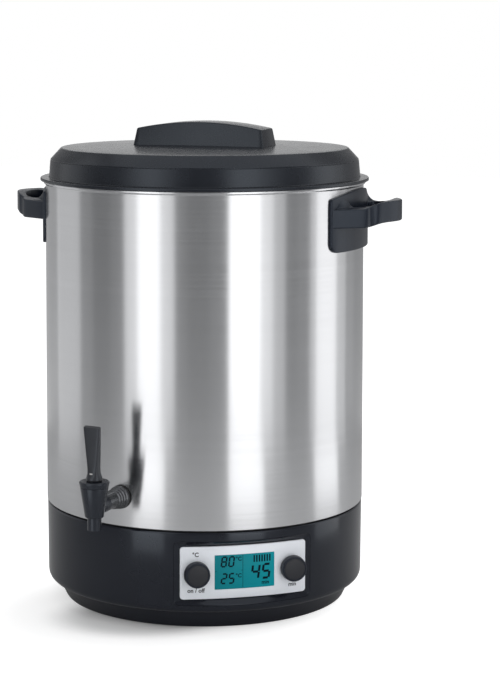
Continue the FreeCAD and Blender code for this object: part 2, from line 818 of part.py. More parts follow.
def make_tap():
    locknut_face = f"{INNER_SEAT} - tap_gasket_thick"
    tail = f"{locknut_face} - shank_tail"
    shank = node("tap_shank", turned([
        ("shank_bore", tail),
        ("shank_radius", tail),
        ("shank_radius", COLLAR_SEAT),
        ("collar_radius", COLLAR_SEAT),
        ("collar_radius", f"{COLLAR_SEAT} + collar_thick"),
        ("neck_radius", f"{COLLAR_SEAT} + collar_thick"),
        ("neck_radius", SOCKET_END),
        ("shank_bore", SOCKET_END),
    ]))
    outer = node("tap_outer_gasket", washer(
        "shank_radius + fit_gap", "tap_gasket_radius", "vessel_radius + fit_gap", "tap_gasket_thick"))
    inner = node("tap_inner_gasket", washer(
        "shank_radius + fit_gap", "tap_gasket_radius", locknut_face, "tap_gasket_thick"))
    for piece in (shank, outer, inner):
        pointing_out(piece, "tap_bearing", "0", "tap_height")
    nut = hexagon("locknut_flats", "locknut_thick",
                  ("0", f"-({locknut_face} - locknut_thick)", "tap_height"), OUT)
    nut_hole = rod("shank_radius + fit_gap", "tap_reach", ("0", "0", "tap_height"), OUT)
    node("tap_locknut", facing(cut(nut, nut_hole), "tap_bearing"))

    cone = doc.addObject("Part::Cone", scratch_name("tap"))
    bind(cone, Radius1="tap_low_radius", Radius2="tap_top_radius")
    bind(cone, Height=f"{TAP_SHOULDER} - tap_low_height")
    bind(cone, Placement__Base__y="-tap_reach", Placement__Base__z="tap_low_height")
    spout = rod("spout_radius", f"{SEAT_LEVEL} - spout_end", ("0", "-tap_reach", "spout_end"))
    socket = rod("neck_radius", "socket_length", ("0", f"-({SOCKET_END})", "tap_height"), OUT)
    cavity = rod("cavity_radius", f"{TAP_SHOULDER} - ({SEAT_LEVEL})", ("0", "-tap_reach", SEAT_LEVEL))
    bore = rod("spout_bore", SEAT_LEVEL, ("0", "-tap_reach", "0"))
    inlet = rod("shank_bore", "socket_length", ("0", f"-({SOCKET_END})", "tap_height"), OUT)
    node("tap_body", facing(cut(fused(cone, spout, socket), cavity, bore, inlet), "tap_bearing"))

    cap = rod("bonnet_radius", "bonnet_tall", ("0", "-tap_reach", TAP_SHOULDER))
    stem_hole = rod("stem_radius + running_gap", "bonnet_tall", ("0", "-tap_reach", TAP_SHOULDER))
    groove_half = "lever_foot_radius * 3 / 4"
    groove = rod("fulcrum_radius + running_gap", f"2 * {groove_half}",
                 (f"-({groove_half})", FULCRUM[1], FULCRUM[2]), RIGHT)
    node("tap_bonnet", facing(cut(cap, stem_hole, groove), "tap_bearing"))
    make_lever()

    cup_low = f"{SEAT_LEVEL} + running_gap"
    cup_top = f"{cup_low} + cup_tall"
    cup = cut(rod("cup_radius", "cup_tall", ("0", "-tap_reach", cup_low)),
              rod("stem_radius", "cup_tall / 2", ("0", "-tap_reach", f"{cup_low} + cup_tall / 2")))
    node("seat_cup", facing(cup, "tap_bearing"))
    tongue_low = "bonnet_height + 3 * fit_gap"
    stem_low = f"{cup_low} + cup_tall / 2"
    stem = rod("stem_radius", f"{tongue_low} + fit_gap - ({stem_low})", ("0", "-tap_reach", stem_low))
    tongue = centred_block("tongue_thick", "tongue_front + tongue_back", "tongue_tall",
                           "-tap_reach - tongue_front", tongue_low)
    slot_half = "lever_pin_radius + tongue_slack"
    slot = centred_block("2 * tongue_thick", f"pin_swing + 2 * ({slot_half})", f"2 * ({slot_half})",
                         f"-tap_reach - pin_swing - ({slot_half})", f"{PIN_LEVEL} - ({slot_half})")
    node("valve_stem", facing(cut(fused(stem, tongue), slot), "tap_bearing"))
    spring = cut(
        rod("spring_radius", f"{TAP_SHOULDER} - ({cup_top}) - 2 * fit_gap",
            ("0", "-tap_reach", f"{cup_top} + fit_gap")),
        rod("spring_radius - spring_wire", "bonnet_height", ("0", "-tap_reach", "0")))
    node("tap_spring", facing(spring, "tap_bearing"))


def lever_section(width, thick, height):
    """The rectangular section of the lever's paddle at one height."""
    half_width = value(width) / 2
    half_thick = value(thick) / 2
    plane = Part.makePlane(2 * half_width, 2 * half_thick,
                           FreeCAD.Vector(-half_width, -value("tap_reach") - half_thick, value(height)))
    return plane.OuterWire


def make_lever():
    """The paddle that tips outwards on its fulcrum, with a slot for the stem's tongue."""
    foot_low = "bonnet_height + fulcrum_rise - fit_gap"
    foot = Part.makeCylinder(
        value("lever_foot_radius"), value("lever_foot_tall"),
        FreeCAD.Vector(0, -value("tap_reach"), value(foot_low)))
    neck_low = f"{foot_low} + lever_foot_tall / 2"
    paddle = Part.makeLoft([
        lever_section("lever_neck_width", "lever_neck_thick", neck_low),
        lever_section("lever_neck_width", "lever_neck_thick * 4 / 5", "lever_waist_height"),
        lever_section("lever_top_width", "lever_top_thick", "lever_top"),
    ], True, True)
    nose_half = value("lever_foot_radius / 2")
    at = FreeCAD.Vector(-nose_half, value(FULCRUM[1]), value(FULCRUM[2]))
    nose = Part.makeCylinder(value("fulcrum_radius"), 2 * nose_half, at, RIGHT)
    slot_half = value("tongue_thick / 2 + body_gap")
    slot_front = -value("tap_reach + tongue_front + 2 * body_gap")
    slot = Part.makeBox(
        2 * slot_half, 3 * value("lever_foot_radius"), value("lever_slot_tall"),
        FreeCAD.Vector(-slot_half, slot_front, value("bonnet_height")))
    pin_half = value("lever_foot_radius")
    pin_at = FreeCAD.Vector(-pin_half, -value("tap_reach"), value(PIN_LEVEL))
    pin_hole = Part.makeCylinder(value("lever_pin_radius + fit_gap / 5"), 2 * pin_half, pin_at, RIGHT)
    lever = doc.addObject("Part::Feature", "lever")
    lever.Shape = foot.fuse([paddle, nose]).removeSplitter().cut([slot, pin_hole])
    node("tap_lever", facing(lever, "tap_bearing"))
    pin_length = "lever_neck_width - 2 * fit_gap"
    node("lever_pin", facing(rod(
        "lever_pin_radius", pin_length, (f"-({pin_length}) / 2", "-tap_reach", PIN_LEVEL), RIGHT),
        "tap_bearing"))


# Side handles, drawn on the +X side

def make_handle(label, turn):
    """A plate bent round the wall, with two arms and a grip that leave a finger hole between them."""
    seat = rod("vessel_radius + fit_gap", "rim_height", ("0", "0", "0"))
    ring = rod("vessel_radius + fit_gap + escutcheon_thick", "escutcheon_high - escutcheon_low",
               ("0", "0", "escutcheon_low"))
    reach = block("grip_reach", "2 * escutcheon_half", "escutcheon_high - escutcheon_low",
                  "0", "-escutcheon_half", "escutcheon_low")
    root = "sqrt(vessel_radius^2 - arm_root_half^2)"
    arms = padded("XY_Plane", [
        (root, "-arm_root_half"),
        ("arm_tip_reach", "-arm_tip_half"),
        ("arm_tip_reach", "arm_tip_half"),
        (root, "arm_root_half"),
    ], "arm_high - arm_low", "arm_low")
    grip = padded("XY_Plane", [
        ("arm_tip_reach - escutcheon_thick", "-arm_tip_half"),
        ("arm_tip_reach", "-arm_tip_half"),
        ("grip_reach - grip_crown", "-grip_half"),
        ("grip_reach", "0"),
        ("grip_reach - grip_crown", "grip_half"),
        ("arm_tip_reach", "arm_tip_half"),
        ("arm_tip_reach - escutcheon_thick", "arm_tip_half"),
    ], "grip_high - grip_low", "grip_low")
    fingers = padded("XY_Plane", [
        ("finger_inner", "-finger_half"),
        ("finger_outer", "-finger_tip_half"),
        ("finger_outer", "finger_tip_half"),
        ("finger_inner", "finger_half"),
    ], "rim_height")
    holes = handle_screw_tools(
        "handle_screw_radius + fit_gap", SCREW_SEAT, "handle_screw_length + fit_gap", SCREW_LEVEL)
    handle = cut(fused(shared(ring, reach), arms, grip), seat, fingers, *holes)
    handle.Placement = FreeCAD.Placement(FreeCAD.Vector(), FreeCAD.Rotation(UP, turn))
    node(label, handle)


SCREW_HEAD = "screw_head_tall"


def make_handles():
    make_handle("right_handle", 0)
    make_handle("left_handle", 180)
    heads = handle_screw_tools(
        "handle_screw_head", f"{SCREW_SEAT} - {SCREW_HEAD}", SCREW_HEAD, SCREW_LEVEL)
    shanks = handle_screw_tools(
        "handle_screw_radius", SCREW_SEAT, "handle_screw_length", SCREW_LEVEL)
    node("handle_screws", group(*[fused(head, shank) for head, shank in zip(heads, shanks)]))


# Lid

BRIM_LOW = "rim_height + fit_gap"
BRIM_TOP = "rim_height + fit_gap + brim_tall"


def make_lid():
    inner = "skirt_radius - lid_thickness"
    lip_inner = "lid_lip_radius - lid_thickness"
    shell = turned([
        ("0", "crown_top - lid_thickness"),
        ("crown_radius - lid_thickness / 2", "crown_edge - lid_thickness"),
        (inner, "skirt_top - lid_thickness / 2"),
        (inner, f"{BRIM_LOW} + brim_tall / 2"),
        (lip_inner, BRIM_LOW),
        (lip_inner, f"{BRIM_LOW} - lid_lip_drop"),
        ("lid_lip_radius", f"{BRIM_LOW} - lid_lip_drop"),
        ("lid_lip_radius", BRIM_LOW),
        ("brim_radius", BRIM_LOW),
        ("brim_radius", BRIM_TOP),
        ("skirt_radius", BRIM_TOP),
        ("skirt_radius", "skirt_top"),
        ("crown_radius", "crown_edge"),
        ("0", "crown_top"),
    ])
    holes = []
    bar_holes = []
    screws = []
    for x in ("-bar_screw_offset", "bar_screw_offset"):
        under = f"{crown_level('bar_screw_offset + screw_head_radius')} - lid_thickness - fit_gap"
        hole = rod("screw_radius + fit_gap", "lid_thickness * 3", (x, "0", f"{under} - lid_thickness"))
        holes.append(hole)
        bar_holes.append(rod("screw_radius + fit_gap", "screw_length + fit_gap", (x, "0", under)))
        head = rod("screw_head_radius", "screw_head_tall", (x, "0", f"{under} - screw_head_tall"))
        shank = rod("screw_radius", "screw_length", (x, "0", under))
        screws.append(fused(head, shank))
    node("lid_shell", cut(shell, *holes))
    node("lid_handle_screws", group(*screws))

    low = "crown_top - bar_sink"
    high = "crown_top - bar_sink + bar_tall"
    side = padded("XZ_Plane", [
        ("-bar_length / 2", low),
        ("bar_length / 2", low),
        ("bar_top_length / 2", high),
        ("-bar_top_length / 2", high),
    ], "bar_width", midplane=True)
    arch = rod("bar_arch", "bar_width", ("0", "-bar_width / 2", f"{high} - bar_arch"), BACK)
    section = padded("YZ_Plane", [
        ("-bar_width / 2", low),
        ("bar_width / 2", low),
        ("bar_top_width / 2", high),
        ("-bar_top_width / 2", high),
    ], "bar_length", midplane=True)
    dome = turned([
        ("0", "0"),
        ("crown_radius", "0"),
        ("crown_radius", "crown_edge + fit_gap / 2"),
        ("0", "crown_top + fit_gap / 2"),
    ])
    node("lid_handle", cut(shared(shared(side, section), arch), dome, *bar_holes))


def crown_level(radius):
    """The height of the lid's crown at a distance from its axis."""
    return f"(crown_top - (crown_top - crown_edge) * ({radius}) / crown_radius)"


# Rack that lifts out of the vessel

def make_rack():
    low = "floor_height + body_gap + rack_rise"
    disc = rod("rack_radius", "rack_thickness", ("0", "0", low))
    legs = [
        rod("rack_leg_radius", "rack_rise + rack_thickness / 2", (x, y, "floor_height + body_gap"))
        for x, y, _ in ring_of("rack_leg_count", "rack_leg_circle", 90.0)]
    holes = [rod("rack_finger_radius", "rack_thickness", ("0", "0", low))]
    for ring in range(1, int(value("rack_rings"))):
        circle = f"{ring + 0.4} * rack_ring_step"
        spokes = 6 * (ring + 1)
        if value(f"{circle} + rack_hole_radius") > value("rack_radius - rack_thickness"):
            break
        for step in range(spokes):
            bearing = 360.0 * (step + 0.5) / spokes
            at = (f"{circle} * cos({bearing})", f"{circle} * sin({bearing})", low)
            holes.append(rod("rack_hole_radius / 2", "rack_thickness", at))
    node("insert_rack", fused(cut(disc, *holes), *legs))


make_vessel()
make_base()
make_heater()
make_power()
make_panel()
make_tap()
make_handles()
make_lid()
make_rack()
doc.recompute()

failed = [thing.Name for thing in doc.Objects if {"Invalid", "Error"} & set(thing.State)]
if failed:
    raise RuntimeError(f"failed to build: {failed}")
for label, thing in nodes.items():
    if thing.Shape.isNull() or not thing.Shape.isValid() or not thing.Shape.Solids:
        raise RuntimeError(f"{label} has no valid shape")

os.makedirs("parts", exist_ok=True)
for label, thing in nodes.items():
    thing.Shape.exportStep(f"parts/{label}.step")
    box = thing.Shape.BoundBox
    print(f"{label}: {len(thing.Shape.Solids)} solids, {thing.Shape.Volume / 1000:.1f} cm3, "
          f"z {box.ZMin:.1f} to {box.ZMax:.1f}")
print(f"{len(nodes)} sub-parts")
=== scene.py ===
import json
import math
import bpy
import bmesh
from mathutils import Matrix, Vector


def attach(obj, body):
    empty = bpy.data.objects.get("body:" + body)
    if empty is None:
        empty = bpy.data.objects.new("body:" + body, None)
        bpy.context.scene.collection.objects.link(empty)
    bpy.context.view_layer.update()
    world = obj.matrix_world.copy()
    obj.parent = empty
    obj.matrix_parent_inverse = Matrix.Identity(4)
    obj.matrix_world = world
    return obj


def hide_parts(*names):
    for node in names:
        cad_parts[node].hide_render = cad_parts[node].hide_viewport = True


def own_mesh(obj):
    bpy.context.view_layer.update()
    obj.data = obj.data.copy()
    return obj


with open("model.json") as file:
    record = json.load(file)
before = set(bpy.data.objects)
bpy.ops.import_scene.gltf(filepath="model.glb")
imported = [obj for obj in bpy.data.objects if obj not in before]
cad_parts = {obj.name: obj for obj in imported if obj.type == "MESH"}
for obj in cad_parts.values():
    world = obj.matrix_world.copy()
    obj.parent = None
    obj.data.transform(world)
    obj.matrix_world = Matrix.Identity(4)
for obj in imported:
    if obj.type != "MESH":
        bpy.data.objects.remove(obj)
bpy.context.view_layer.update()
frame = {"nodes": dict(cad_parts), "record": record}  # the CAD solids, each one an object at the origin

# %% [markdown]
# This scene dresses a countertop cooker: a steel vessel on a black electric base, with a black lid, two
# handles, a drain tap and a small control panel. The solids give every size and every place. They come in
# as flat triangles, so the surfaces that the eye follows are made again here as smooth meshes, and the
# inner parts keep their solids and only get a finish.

MM = 0.001
PANEL_BEARING = math.radians(33.5)
TAP_BEARING = math.radians(-11.0)

# %% [markdown]
# A finish is a small tree of shader nodes. Linking nodes one at a time is slow to write and hard to read,
# so one class holds a socket and lets ordinary arithmetic make Math nodes. A second method makes any other
# node from its type, its settings and its inputs.

# %% A socket that arithmetic works on
class Wire:
    """An output socket of a shader tree."""

    def __init__(self, tree, socket=None):
        self.tree = tree
        self.socket = socket

    def node(self, kind, settings=None, inputs=None, output=0):
        item = self.tree.nodes.new(kind)
        for key, setting in (settings or {}).items():
            setattr(item, key, setting)
        for key, source in (inputs or {}).items():
            if isinstance(source, Wire):
                self.tree.links.new(source.socket, item.inputs[key])
            else:
                item.inputs[key].default_value = source
        return Wire(self.tree, item.outputs[output] if len(item.outputs) else None)

    def math(self, operation, *others):
        inputs = dict(enumerate((self,) + others))
        return self.node("ShaderNodeMath", {"operation": operation}, inputs)

    def __add__(self, other):
        return self.math("ADD", other)

    def __mul__(self, other):
        return self.math("MULTIPLY", other)

    def __sub__(self, other):
        return self.math("SUBTRACT", other)

    def __rsub__(self, other):
        return self * -1.0 + other

    def __truediv__(self, other):
        return self.math("DIVIDE", other)

    def __pow__(self, other):
        return self.math("POWER", other)

    __radd__ = __add__
    __rmul__ = __mul__


def measured(place, direction):
    """How far a place lies along a direction."""
    return place.node("ShaderNodeVectorMath", {"operation": "DOT_PRODUCT"}, {0: place, 1: direction}, 1)


def noise(place, scale, detail=3.0):
    """Noise over object coordinates, stretched by a scale for each axis."""
    stretched = place.node("ShaderNodeVectorMath", {"operation": "MULTIPLY"}, {0: place, 1: scale})
    return place.node("ShaderNodeTexNoise", {}, {"Vector": stretched, "Scale": 1.0, "Detail": detail})


def finish(name, colour, rough, grain=(90.0, 90.0, 90.0), shade=0.12, rough_swing=0.1, bump=0.0,
           bump_grain=1400.0, **fixed):
    """A Principled finish whose colour and roughness drift with a noise, with an optional fine grain."""
    look = bpy.data.materials.new(name)
    look.use_nodes = True
    tree = look.node_tree
    shader = tree.nodes["Principled BSDF"]
    place = Wire(tree).node("ShaderNodeTexCoord", output=3)
    drift = noise(place, grain) - 0.5
    tone = drift * (2.0 * shade) + 1.0
    tinted = place.node("ShaderNodeVectorMath", {"operation": "SCALE"}, {0: colour, "Scale": tone})
    tree.links.new(tinted.socket, shader.inputs["Base Color"])
    tree.links.new((drift * (2.0 * rough_swing) + rough).socket, shader.inputs["Roughness"])
    if bump:
        fine = noise(place, (bump_grain,) * 3, 2.0)
        relief = place.node("ShaderNodeBump", {}, {"Strength": bump, "Distance": 0.0002, "Height": fine})
        tree.links.new(relief.socket, shader.inputs["Normal"])
    for key, setting in fixed.items():
        shader.inputs[key.replace("_", " ")].default_value = setting
    return look


# %% [markdown]
# The finishes follow the record's material slots. The vessel is brushed round its axis, so its noise is
# stretched into level streaks, and its highlights spread up and down more than sideways: that is an
# anisotropic reflection, turned a quarter so that it lies across the brushing. The base is gloss plastic,
# the lid and handles are satin plastic with a moulded grain.

# %% Finishes by material slot
COOL = (0.80, 0.89, 1.0, 1.0)  # the tint of a black plastic's reflections
LOOKS = {
    "brushed_steel": finish("brushed_steel", (0.655, 0.66, 0.674), 0.21, (2.0, 2.0, 430.0), 0.06, 0.04,
                            Metallic=1.0, Anisotropic=0.75, Anisotropic_Rotation=0.25),
    "gloss_black": finish("gloss_black", (0.009, 0.0095, 0.014), 0.14, (40.0,) * 3, 0.2, 0.04,
                          bump=0.03, bump_grain=500.0, Specular_IOR_Level=0.42, Specular_Tint=COOL),
    "base_floor": finish("base_floor", (0.018, 0.018, 0.02), 0.5),
    "lid_black": finish("lid_black", (0.010, 0.011, 0.015), 0.27, (60.0,) * 3, 0.15, 0.04, 0.03,
                        Specular_Tint=COOL),
    "handle_black": finish("handle_black", (0.009, 0.012, 0.020), 0.33, (60.0,) * 3, 0.15, 0.05, 0.14,
                           Specular_IOR_Level=0.4, Specular_Tint=COOL),
    "tap_black": finish("tap_black", (0.013, 0.014, 0.019), 0.22, (80.0,) * 3, 0.15, 0.05,
                        Specular_Tint=COOL),
    "silver_fascia": finish("silver_fascia", (0.86, 0.89, 0.94), 0.36, (700.0,) * 3, 0.03, 0.05,
                            Metallic=0.15),
    "knob_black": finish("knob_black", (0.010, 0.011, 0.018), 0.42, (200.0,) * 3, 0.1, 0.05, 0.12,
                         Specular_IOR_Level=0.35, Specular_Tint=COOL),
    "lcd_body": finish("lcd_body", (0.05, 0.052, 0.055), 0.5),
    "rubber": finish("rubber", (0.02, 0.02, 0.02), 0.75, bump=0.2),
    "zinc_steel": finish("zinc_steel", (0.55, 0.55, 0.54), 0.34, Metallic=1.0),
    "aluminium": finish("aluminium", (0.66, 0.67, 0.68), 0.42, Metallic=1.0),
    "circuit_board": finish("circuit_board", (0.02, 0.11, 0.05), 0.45),
    "electric_parts": finish("electric_parts", (0.04, 0.045, 0.06), 0.5),
}
TAP_GLOSS = finish("tap_gloss", (0.09, 0.094, 0.10), 0.12, (80.0,) * 3, 0.15, 0.03, Metallic=0.7)
# a lighter copy of the tap's black for the lever: the lift in colour is a painted sheen
LEVER_PAINTED_SHEEN = finish("lever_painted_sheen", (0.026, 0.026, 0.029), 0.30, (80.0,) * 3, 0.12, 0.05,
                     Specular_Tint=COOL)
KNOB_FACE = finish("knob_face", (0.006, 0.007, 0.012), 0.4, (200.0,) * 3, 0.1, 0.05)
INK = finish("panel_ink", (0.015, 0.015, 0.02), 0.5)
LCD_INK = finish("lcd_ink", (0.001, 0.008, 0.016), 0.6, Specular_IOR_Level=0.08)
print(len(LOOKS), "finishes")

# %% [markdown]
# The display glows a little and is brighter towards one side, as a lit liquid crystal is. Its colour
# changes along the panel's own sideways direction, so the object's place is measured along that direction
# by a dot product. The same colour is shown as emission, because a display isn't lit by the room alone.

# %% The display's finish
DISPLAY_WIDTH = 0.062


def display_finish():
    look = finish("lcd_glass", (0.0, 0.10, 0.13), 0.4, Specular_IOR_Level=0.1)
    tree = look.node_tree
    shader = tree.nodes["Principled BSDF"]
    place = Wire(tree).node("ShaderNodeTexCoord", output=3)
    sideways = measured(place, (math.cos(PANEL_BEARING), math.sin(PANEL_BEARING), 0.0))
    share = sideways / DISPLAY_WIDTH + 0.5
    colour = place.node("ShaderNodeMix", {"data_type": "RGBA"}, {
        "Factor": share, 6: (0.003, 0.105, 0.125, 1.0), 7: (0.002, 0.15, 0.18, 1.0)}, 2)
    tree.links.new(colour.socket, shader.inputs["Base Color"])
    tree.links.new(colour.socket, shader.inputs["Emission Color"])
    shader.inputs["Emission Strength"].default_value = 0.75
    return look


LOOKS["lcd_glass"] = display_finish()
print("display finish made")

# %% [markdown]
# Most of the object is round, so most pieces are turned: a closed outline is drawn in one plane and spun
# about the upright axis. A corner of an outline may carry a third number, the distance over which it is
# eased into a small curve, because no moulded or rolled edge is truly sharp and the light shows it. The
# other pieces are blocks and loops, so a few short helpers cut, soften, bridge and close them.

# %% Helpers for turned pieces
def eased(outline, steps=5):
    """The outline with each corner that has a third number replaced by a short curve."""
    points = []
    for index, corner in enumerate(outline):
        here = Vector(corner[:2])
        if len(corner) == 2:
            points.append(here)
            continue
        before = Vector(outline[index - 1][:2]) - here
        after = Vector(outline[(index + 1) % len(outline)][:2]) - here
        start = here + before.normalized() * corner[2]
        end = here + after.normalized() * corner[2]
        for step in range(steps + 1):
            t = step / steps
            points.append(start * (1 - t) ** 2 + here * (2 * t * (1 - t)) + end * t ** 2)
    return points


def closed_loop(bm, points):
    """Edges from each point to the next one and back to the first."""
    verts = [bm.verts.new(p) for p in points]
    return [bm.edges.new((verts[i - 1], verts[i])) for i in range(len(verts))]


def lathe(outline, steps=192):
    """A closed outline of radius and height in millimetres, spun about Z."""
    bm = bmesh.new()
    closed_loop(bm, [(r * MM, 0.0, z * MM) for r, z in eased(outline)])
    bmesh.ops.spin(bm, geom=bm.verts[:] + bm.edges[:], cent=(0, 0, 0), axis=(0, 0, 1), angle=math.tau,
                   steps=steps, use_merge=True, use_duplicate=False)
    bmesh.ops.remove_doubles(bm, verts=bm.verts, dist=1e-6)
    loose = [f for f in bm.faces if f.calc_area() < 1e-14]
    bmesh.ops.delete(bm, geom=loose, context="FACES")
    return bm


def move(bm, matrix):
    bmesh.ops.transform(bm, matrix=matrix, verts=bm.verts)
    return bm


# %% Helpers for blocks and loops
def bridged(bm, loops, closed=False):
    """Faces between each loop and the next one."""
    pairs = list(zip(loops, loops[1:])) + ([(loops[-1], loops[0])] if closed else [])
    for near, far in pairs:
        bmesh.ops.bridge_loops(bm, edges=near + far)


def capped(bm, loops):
    """Faces between the loops, and one face on the first and on the last of them."""
    bridged(bm, loops)
    for end in (loops[0], loops[-1]):
        bmesh.ops.edgeloop_fill(bm, edges=end)


def cut_across(bm, point, direction):
    """New edges where a plane through a point meets the mesh."""
    bmesh.ops.bisect_plane(bm, geom=bm.verts[:] + bm.edges[:] + bm.faces[:], dist=1e-7, plane_co=point,
                           plane_no=direction)


def soften(bm, edges, width, segments):
    """The edges rounded over a width in millimetres."""
    bmesh.ops.bevel(bm, geom=edges, offset=width * MM, segments=segments, profile=0.5, affect="EDGES",
                    material=-1)


def ramp(value, low, high):
    """0 below low, 1 above high, and even in between."""
    return min(1.0, max(0.0, (value - low) / (high - low)))


def baked(made):
    """The mesh of an object after its modifiers, or of a text."""
    bpy.context.view_layer.update()
    return bpy.data.meshes.new_from_object(made.evaluated_get(bpy.context.evaluated_depsgraph_get()))


# %% A finished piece
SHARP_ANGLE = 32.0


def piece(bm, name, body, slot, look=None, stands_for=(), sharp=SHARP_ANGLE):
    """A mesh object of the finished bmesh, riding on a body and standing for CAD nodes."""
    bmesh.ops.recalc_face_normals(bm, faces=bm.faces)
    mesh = bpy.data.meshes.new(name)
    bm.to_mesh(mesh)
    bm.free()
    mesh.shade_smooth()
    mesh.set_sharp_from_angle(angle=math.radians(sharp))
    mesh.materials.append(look or LOOKS[slot])
    made = bpy.data.objects.new(name, mesh)
    bpy.context.scene.collection.objects.link(made)
    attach(made, body)
    if stands_for:
        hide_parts(*stands_for)
    print(name, len(mesh.polygons), "faces")
    return made


# %% [markdown]
# The vessel is a rolled steel tube with a bead turned over at its rim. It could be a cylinder with a
# solidify modifier, but then the bead would need a second piece: one spun outline gives both, with the wall
# at its real 0.8 mm. The gasket below it shows as the thin dark line between steel and base.

# %% Vessel wall and seam gasket
piece(lathe([
    (168.0, 103.9, 0.3), (168.0, 437.6, 0.6), (170.0, 438.4, 0.9), (170.0, 441.2, 1.1), (167.2, 441.2, 0.5),
    (167.2, 103.9)], 256), "vessel_skin", "root", "brushed_steel", stands_for=("vessel_wall",))
piece(lathe([
    (158.0, 102.1), (165.0, 102.1), (165.0, 103.9), (158.0, 103.9)]), "seam_ring", "root", "rubber",
    stands_for=("seam_gasket",))

# %% [markdown]
# The base is one moulding: a slightly tapered drum with a soft lower edge, then a step in to the foot. A
# window for the panel is cut from the drum. Bmesh has no solid cut, so a rounded block is made as a cutter,
# a Boolean modifier takes it away, and the result is kept as a plain mesh.

# %% Base housing with its window
PANEL_HEIGHT = 60.5
PANEL_TURN = Matrix.Rotation(PANEL_BEARING, 4, "Z")
DRUM_HIGH, DRUM_HIGH_RADIUS = 102.1, 167.5
DRUM_LOW, DRUM_LOW_RADIUS = 19.5, 166.8
WINDOW_WIDTH, WINDOW_TALL, WINDOW_CORNER = 142.3, 65.3, 5.0


def rounded_loop(bm, width, tall, corner, depth, across=28, up=10, turn=6):
    """A closed loop of a rounded rectangle in the panel's plane, set back by a depth at each point."""
    half_x, half_z = width / 2 - corner, tall / 2 - corner
    flat = []
    for quarter, (sx, sz) in enumerate(((1, 1), (-1, 1), (-1, -1), (1, -1))):
        for step in range(turn + 1):
            angle = (quarter + step / turn) * math.pi / 2
            flat.append((sx * half_x + corner * math.cos(angle), sz * half_z + corner * math.sin(angle)))
        count = across if quarter % 2 == 0 else up
        ahead = ((-1, 1), (-1, -1), (1, -1), (1, 1))[quarter]
        angle = (quarter + 1) * math.pi / 2
        end = (ahead[0] * half_x + corner * math.cos(angle), ahead[1] * half_z + corner * math.sin(angle))
        start = flat[-1]
        for step in range(1, count):
            t = step / count
            flat.append((start[0] + (end[0] - start[0]) * t, start[1] + (end[1] - start[1]) * t))
    return closed_loop(bm, [(x * MM, -depth(x, z) * MM, (z + PANEL_HEIGHT) * MM) for x, z in flat])


housing = piece(lathe([
    (155.0, DRUM_HIGH), (DRUM_HIGH_RADIUS, DRUM_HIGH, 2.2), (DRUM_LOW_RADIUS, DRUM_LOW, 8.0),
    (157.5, DRUM_LOW, 1.2), (148.5, 1.5, 0.8), (145.5, 1.5), (154.5, 22.5), (163.6, 23.5, 6.0),
    (164.4, 99.1), (155.0, 99.1)], 256), "base_drum", "root", "gloss_black", stands_for=("base_housing",))

# %% The window's cut
cut_bm = bmesh.new()
capped(cut_bm, [rounded_loop(cut_bm, WINDOW_WIDTH, WINDOW_TALL, WINDOW_CORNER, lambda x, z, far=far: far)
                for far in (140.0, 180.0)])
bmesh.ops.recalc_face_normals(cut_bm, faces=cut_bm.faces)
move(cut_bm, PANEL_TURN)
cut_mesh = bpy.data.meshes.new("window_cutter")
cut_bm.to_mesh(cut_mesh)
cut_bm.free()
cutter = bpy.data.objects.new("window_cutter", cut_mesh)
bpy.context.scene.collection.objects.link(cutter)
saw = housing.modifiers.new("window", "BOOLEAN")
saw.operation = "DIFFERENCE"
saw.object = cutter
sawn = baked(housing)
housing.modifiers.remove(saw)
housing.data = sawn
sawn.set_sharp_from_angle(angle=math.radians(SHARP_ANGLE))
bpy.data.objects.remove(cutter)
print("base drum after the cut", len(sawn.polygons), "faces")

# %% [markdown]
# The panel sits in a recess with sloping walls. The frame round it is a run of rounded loops, each one set
# to its own depth: the first ones follow the drum, the last ones follow the bent plate. Bridging the loops
# makes the walls. The plate is a flat slab with rounded corners, cut across in strips so that it can bend.

# %% Panel frame
FASCIA_OUT = 161.0
FASCIA_BEND = 300.0


def drum_depth(x, z):
    """Distance of the tapered drum's surface in front of the axis."""
    share = (z + PANEL_HEIGHT - DRUM_LOW) / (DRUM_HIGH - DRUM_LOW)
    radius = DRUM_LOW_RADIUS + (DRUM_HIGH_RADIUS - DRUM_LOW_RADIUS) * share
    return math.sqrt(radius ** 2 - x ** 2)


def plate_depth(x):
    """Distance of the bent plate's front in front of the axis."""
    return FASCIA_OUT - (FASCIA_BEND - math.sqrt(FASCIA_BEND ** 2 - x ** 2))


bezel_bm = bmesh.new()
bezel_loops = [
    rounded_loop(bezel_bm, 142.1, 65.1, 5.0, lambda x, z: drum_depth(x, z) - 2.6),
    rounded_loop(bezel_bm, 142.1, 65.1, 5.0, lambda x, z: drum_depth(x, z) - 0.3),
    rounded_loop(bezel_bm, 141.5, 64.5, 4.8, lambda x, z: drum_depth(x, z) - 0.02),
    rounded_loop(bezel_bm, 140.6, 63.6, 4.6, lambda x, z: drum_depth(x, z) - 0.3),
    rounded_loop(bezel_bm, 131.4, 54.4, 3.5, lambda x, z: plate_depth(x) - 1.2),
    rounded_loop(bezel_bm, 130.5, 53.5, 3.2, lambda x, z: plate_depth(x) - 1.6),
    rounded_loop(bezel_bm, 130.5, 53.5, 3.2, lambda x, z: plate_depth(x) - 5.0)]
bridged(bezel_bm, bezel_loops, closed=True)
piece(move(bezel_bm, PANEL_TURN), "panel_frame", "root", "gloss_black", stands_for=("panel_bezel",))


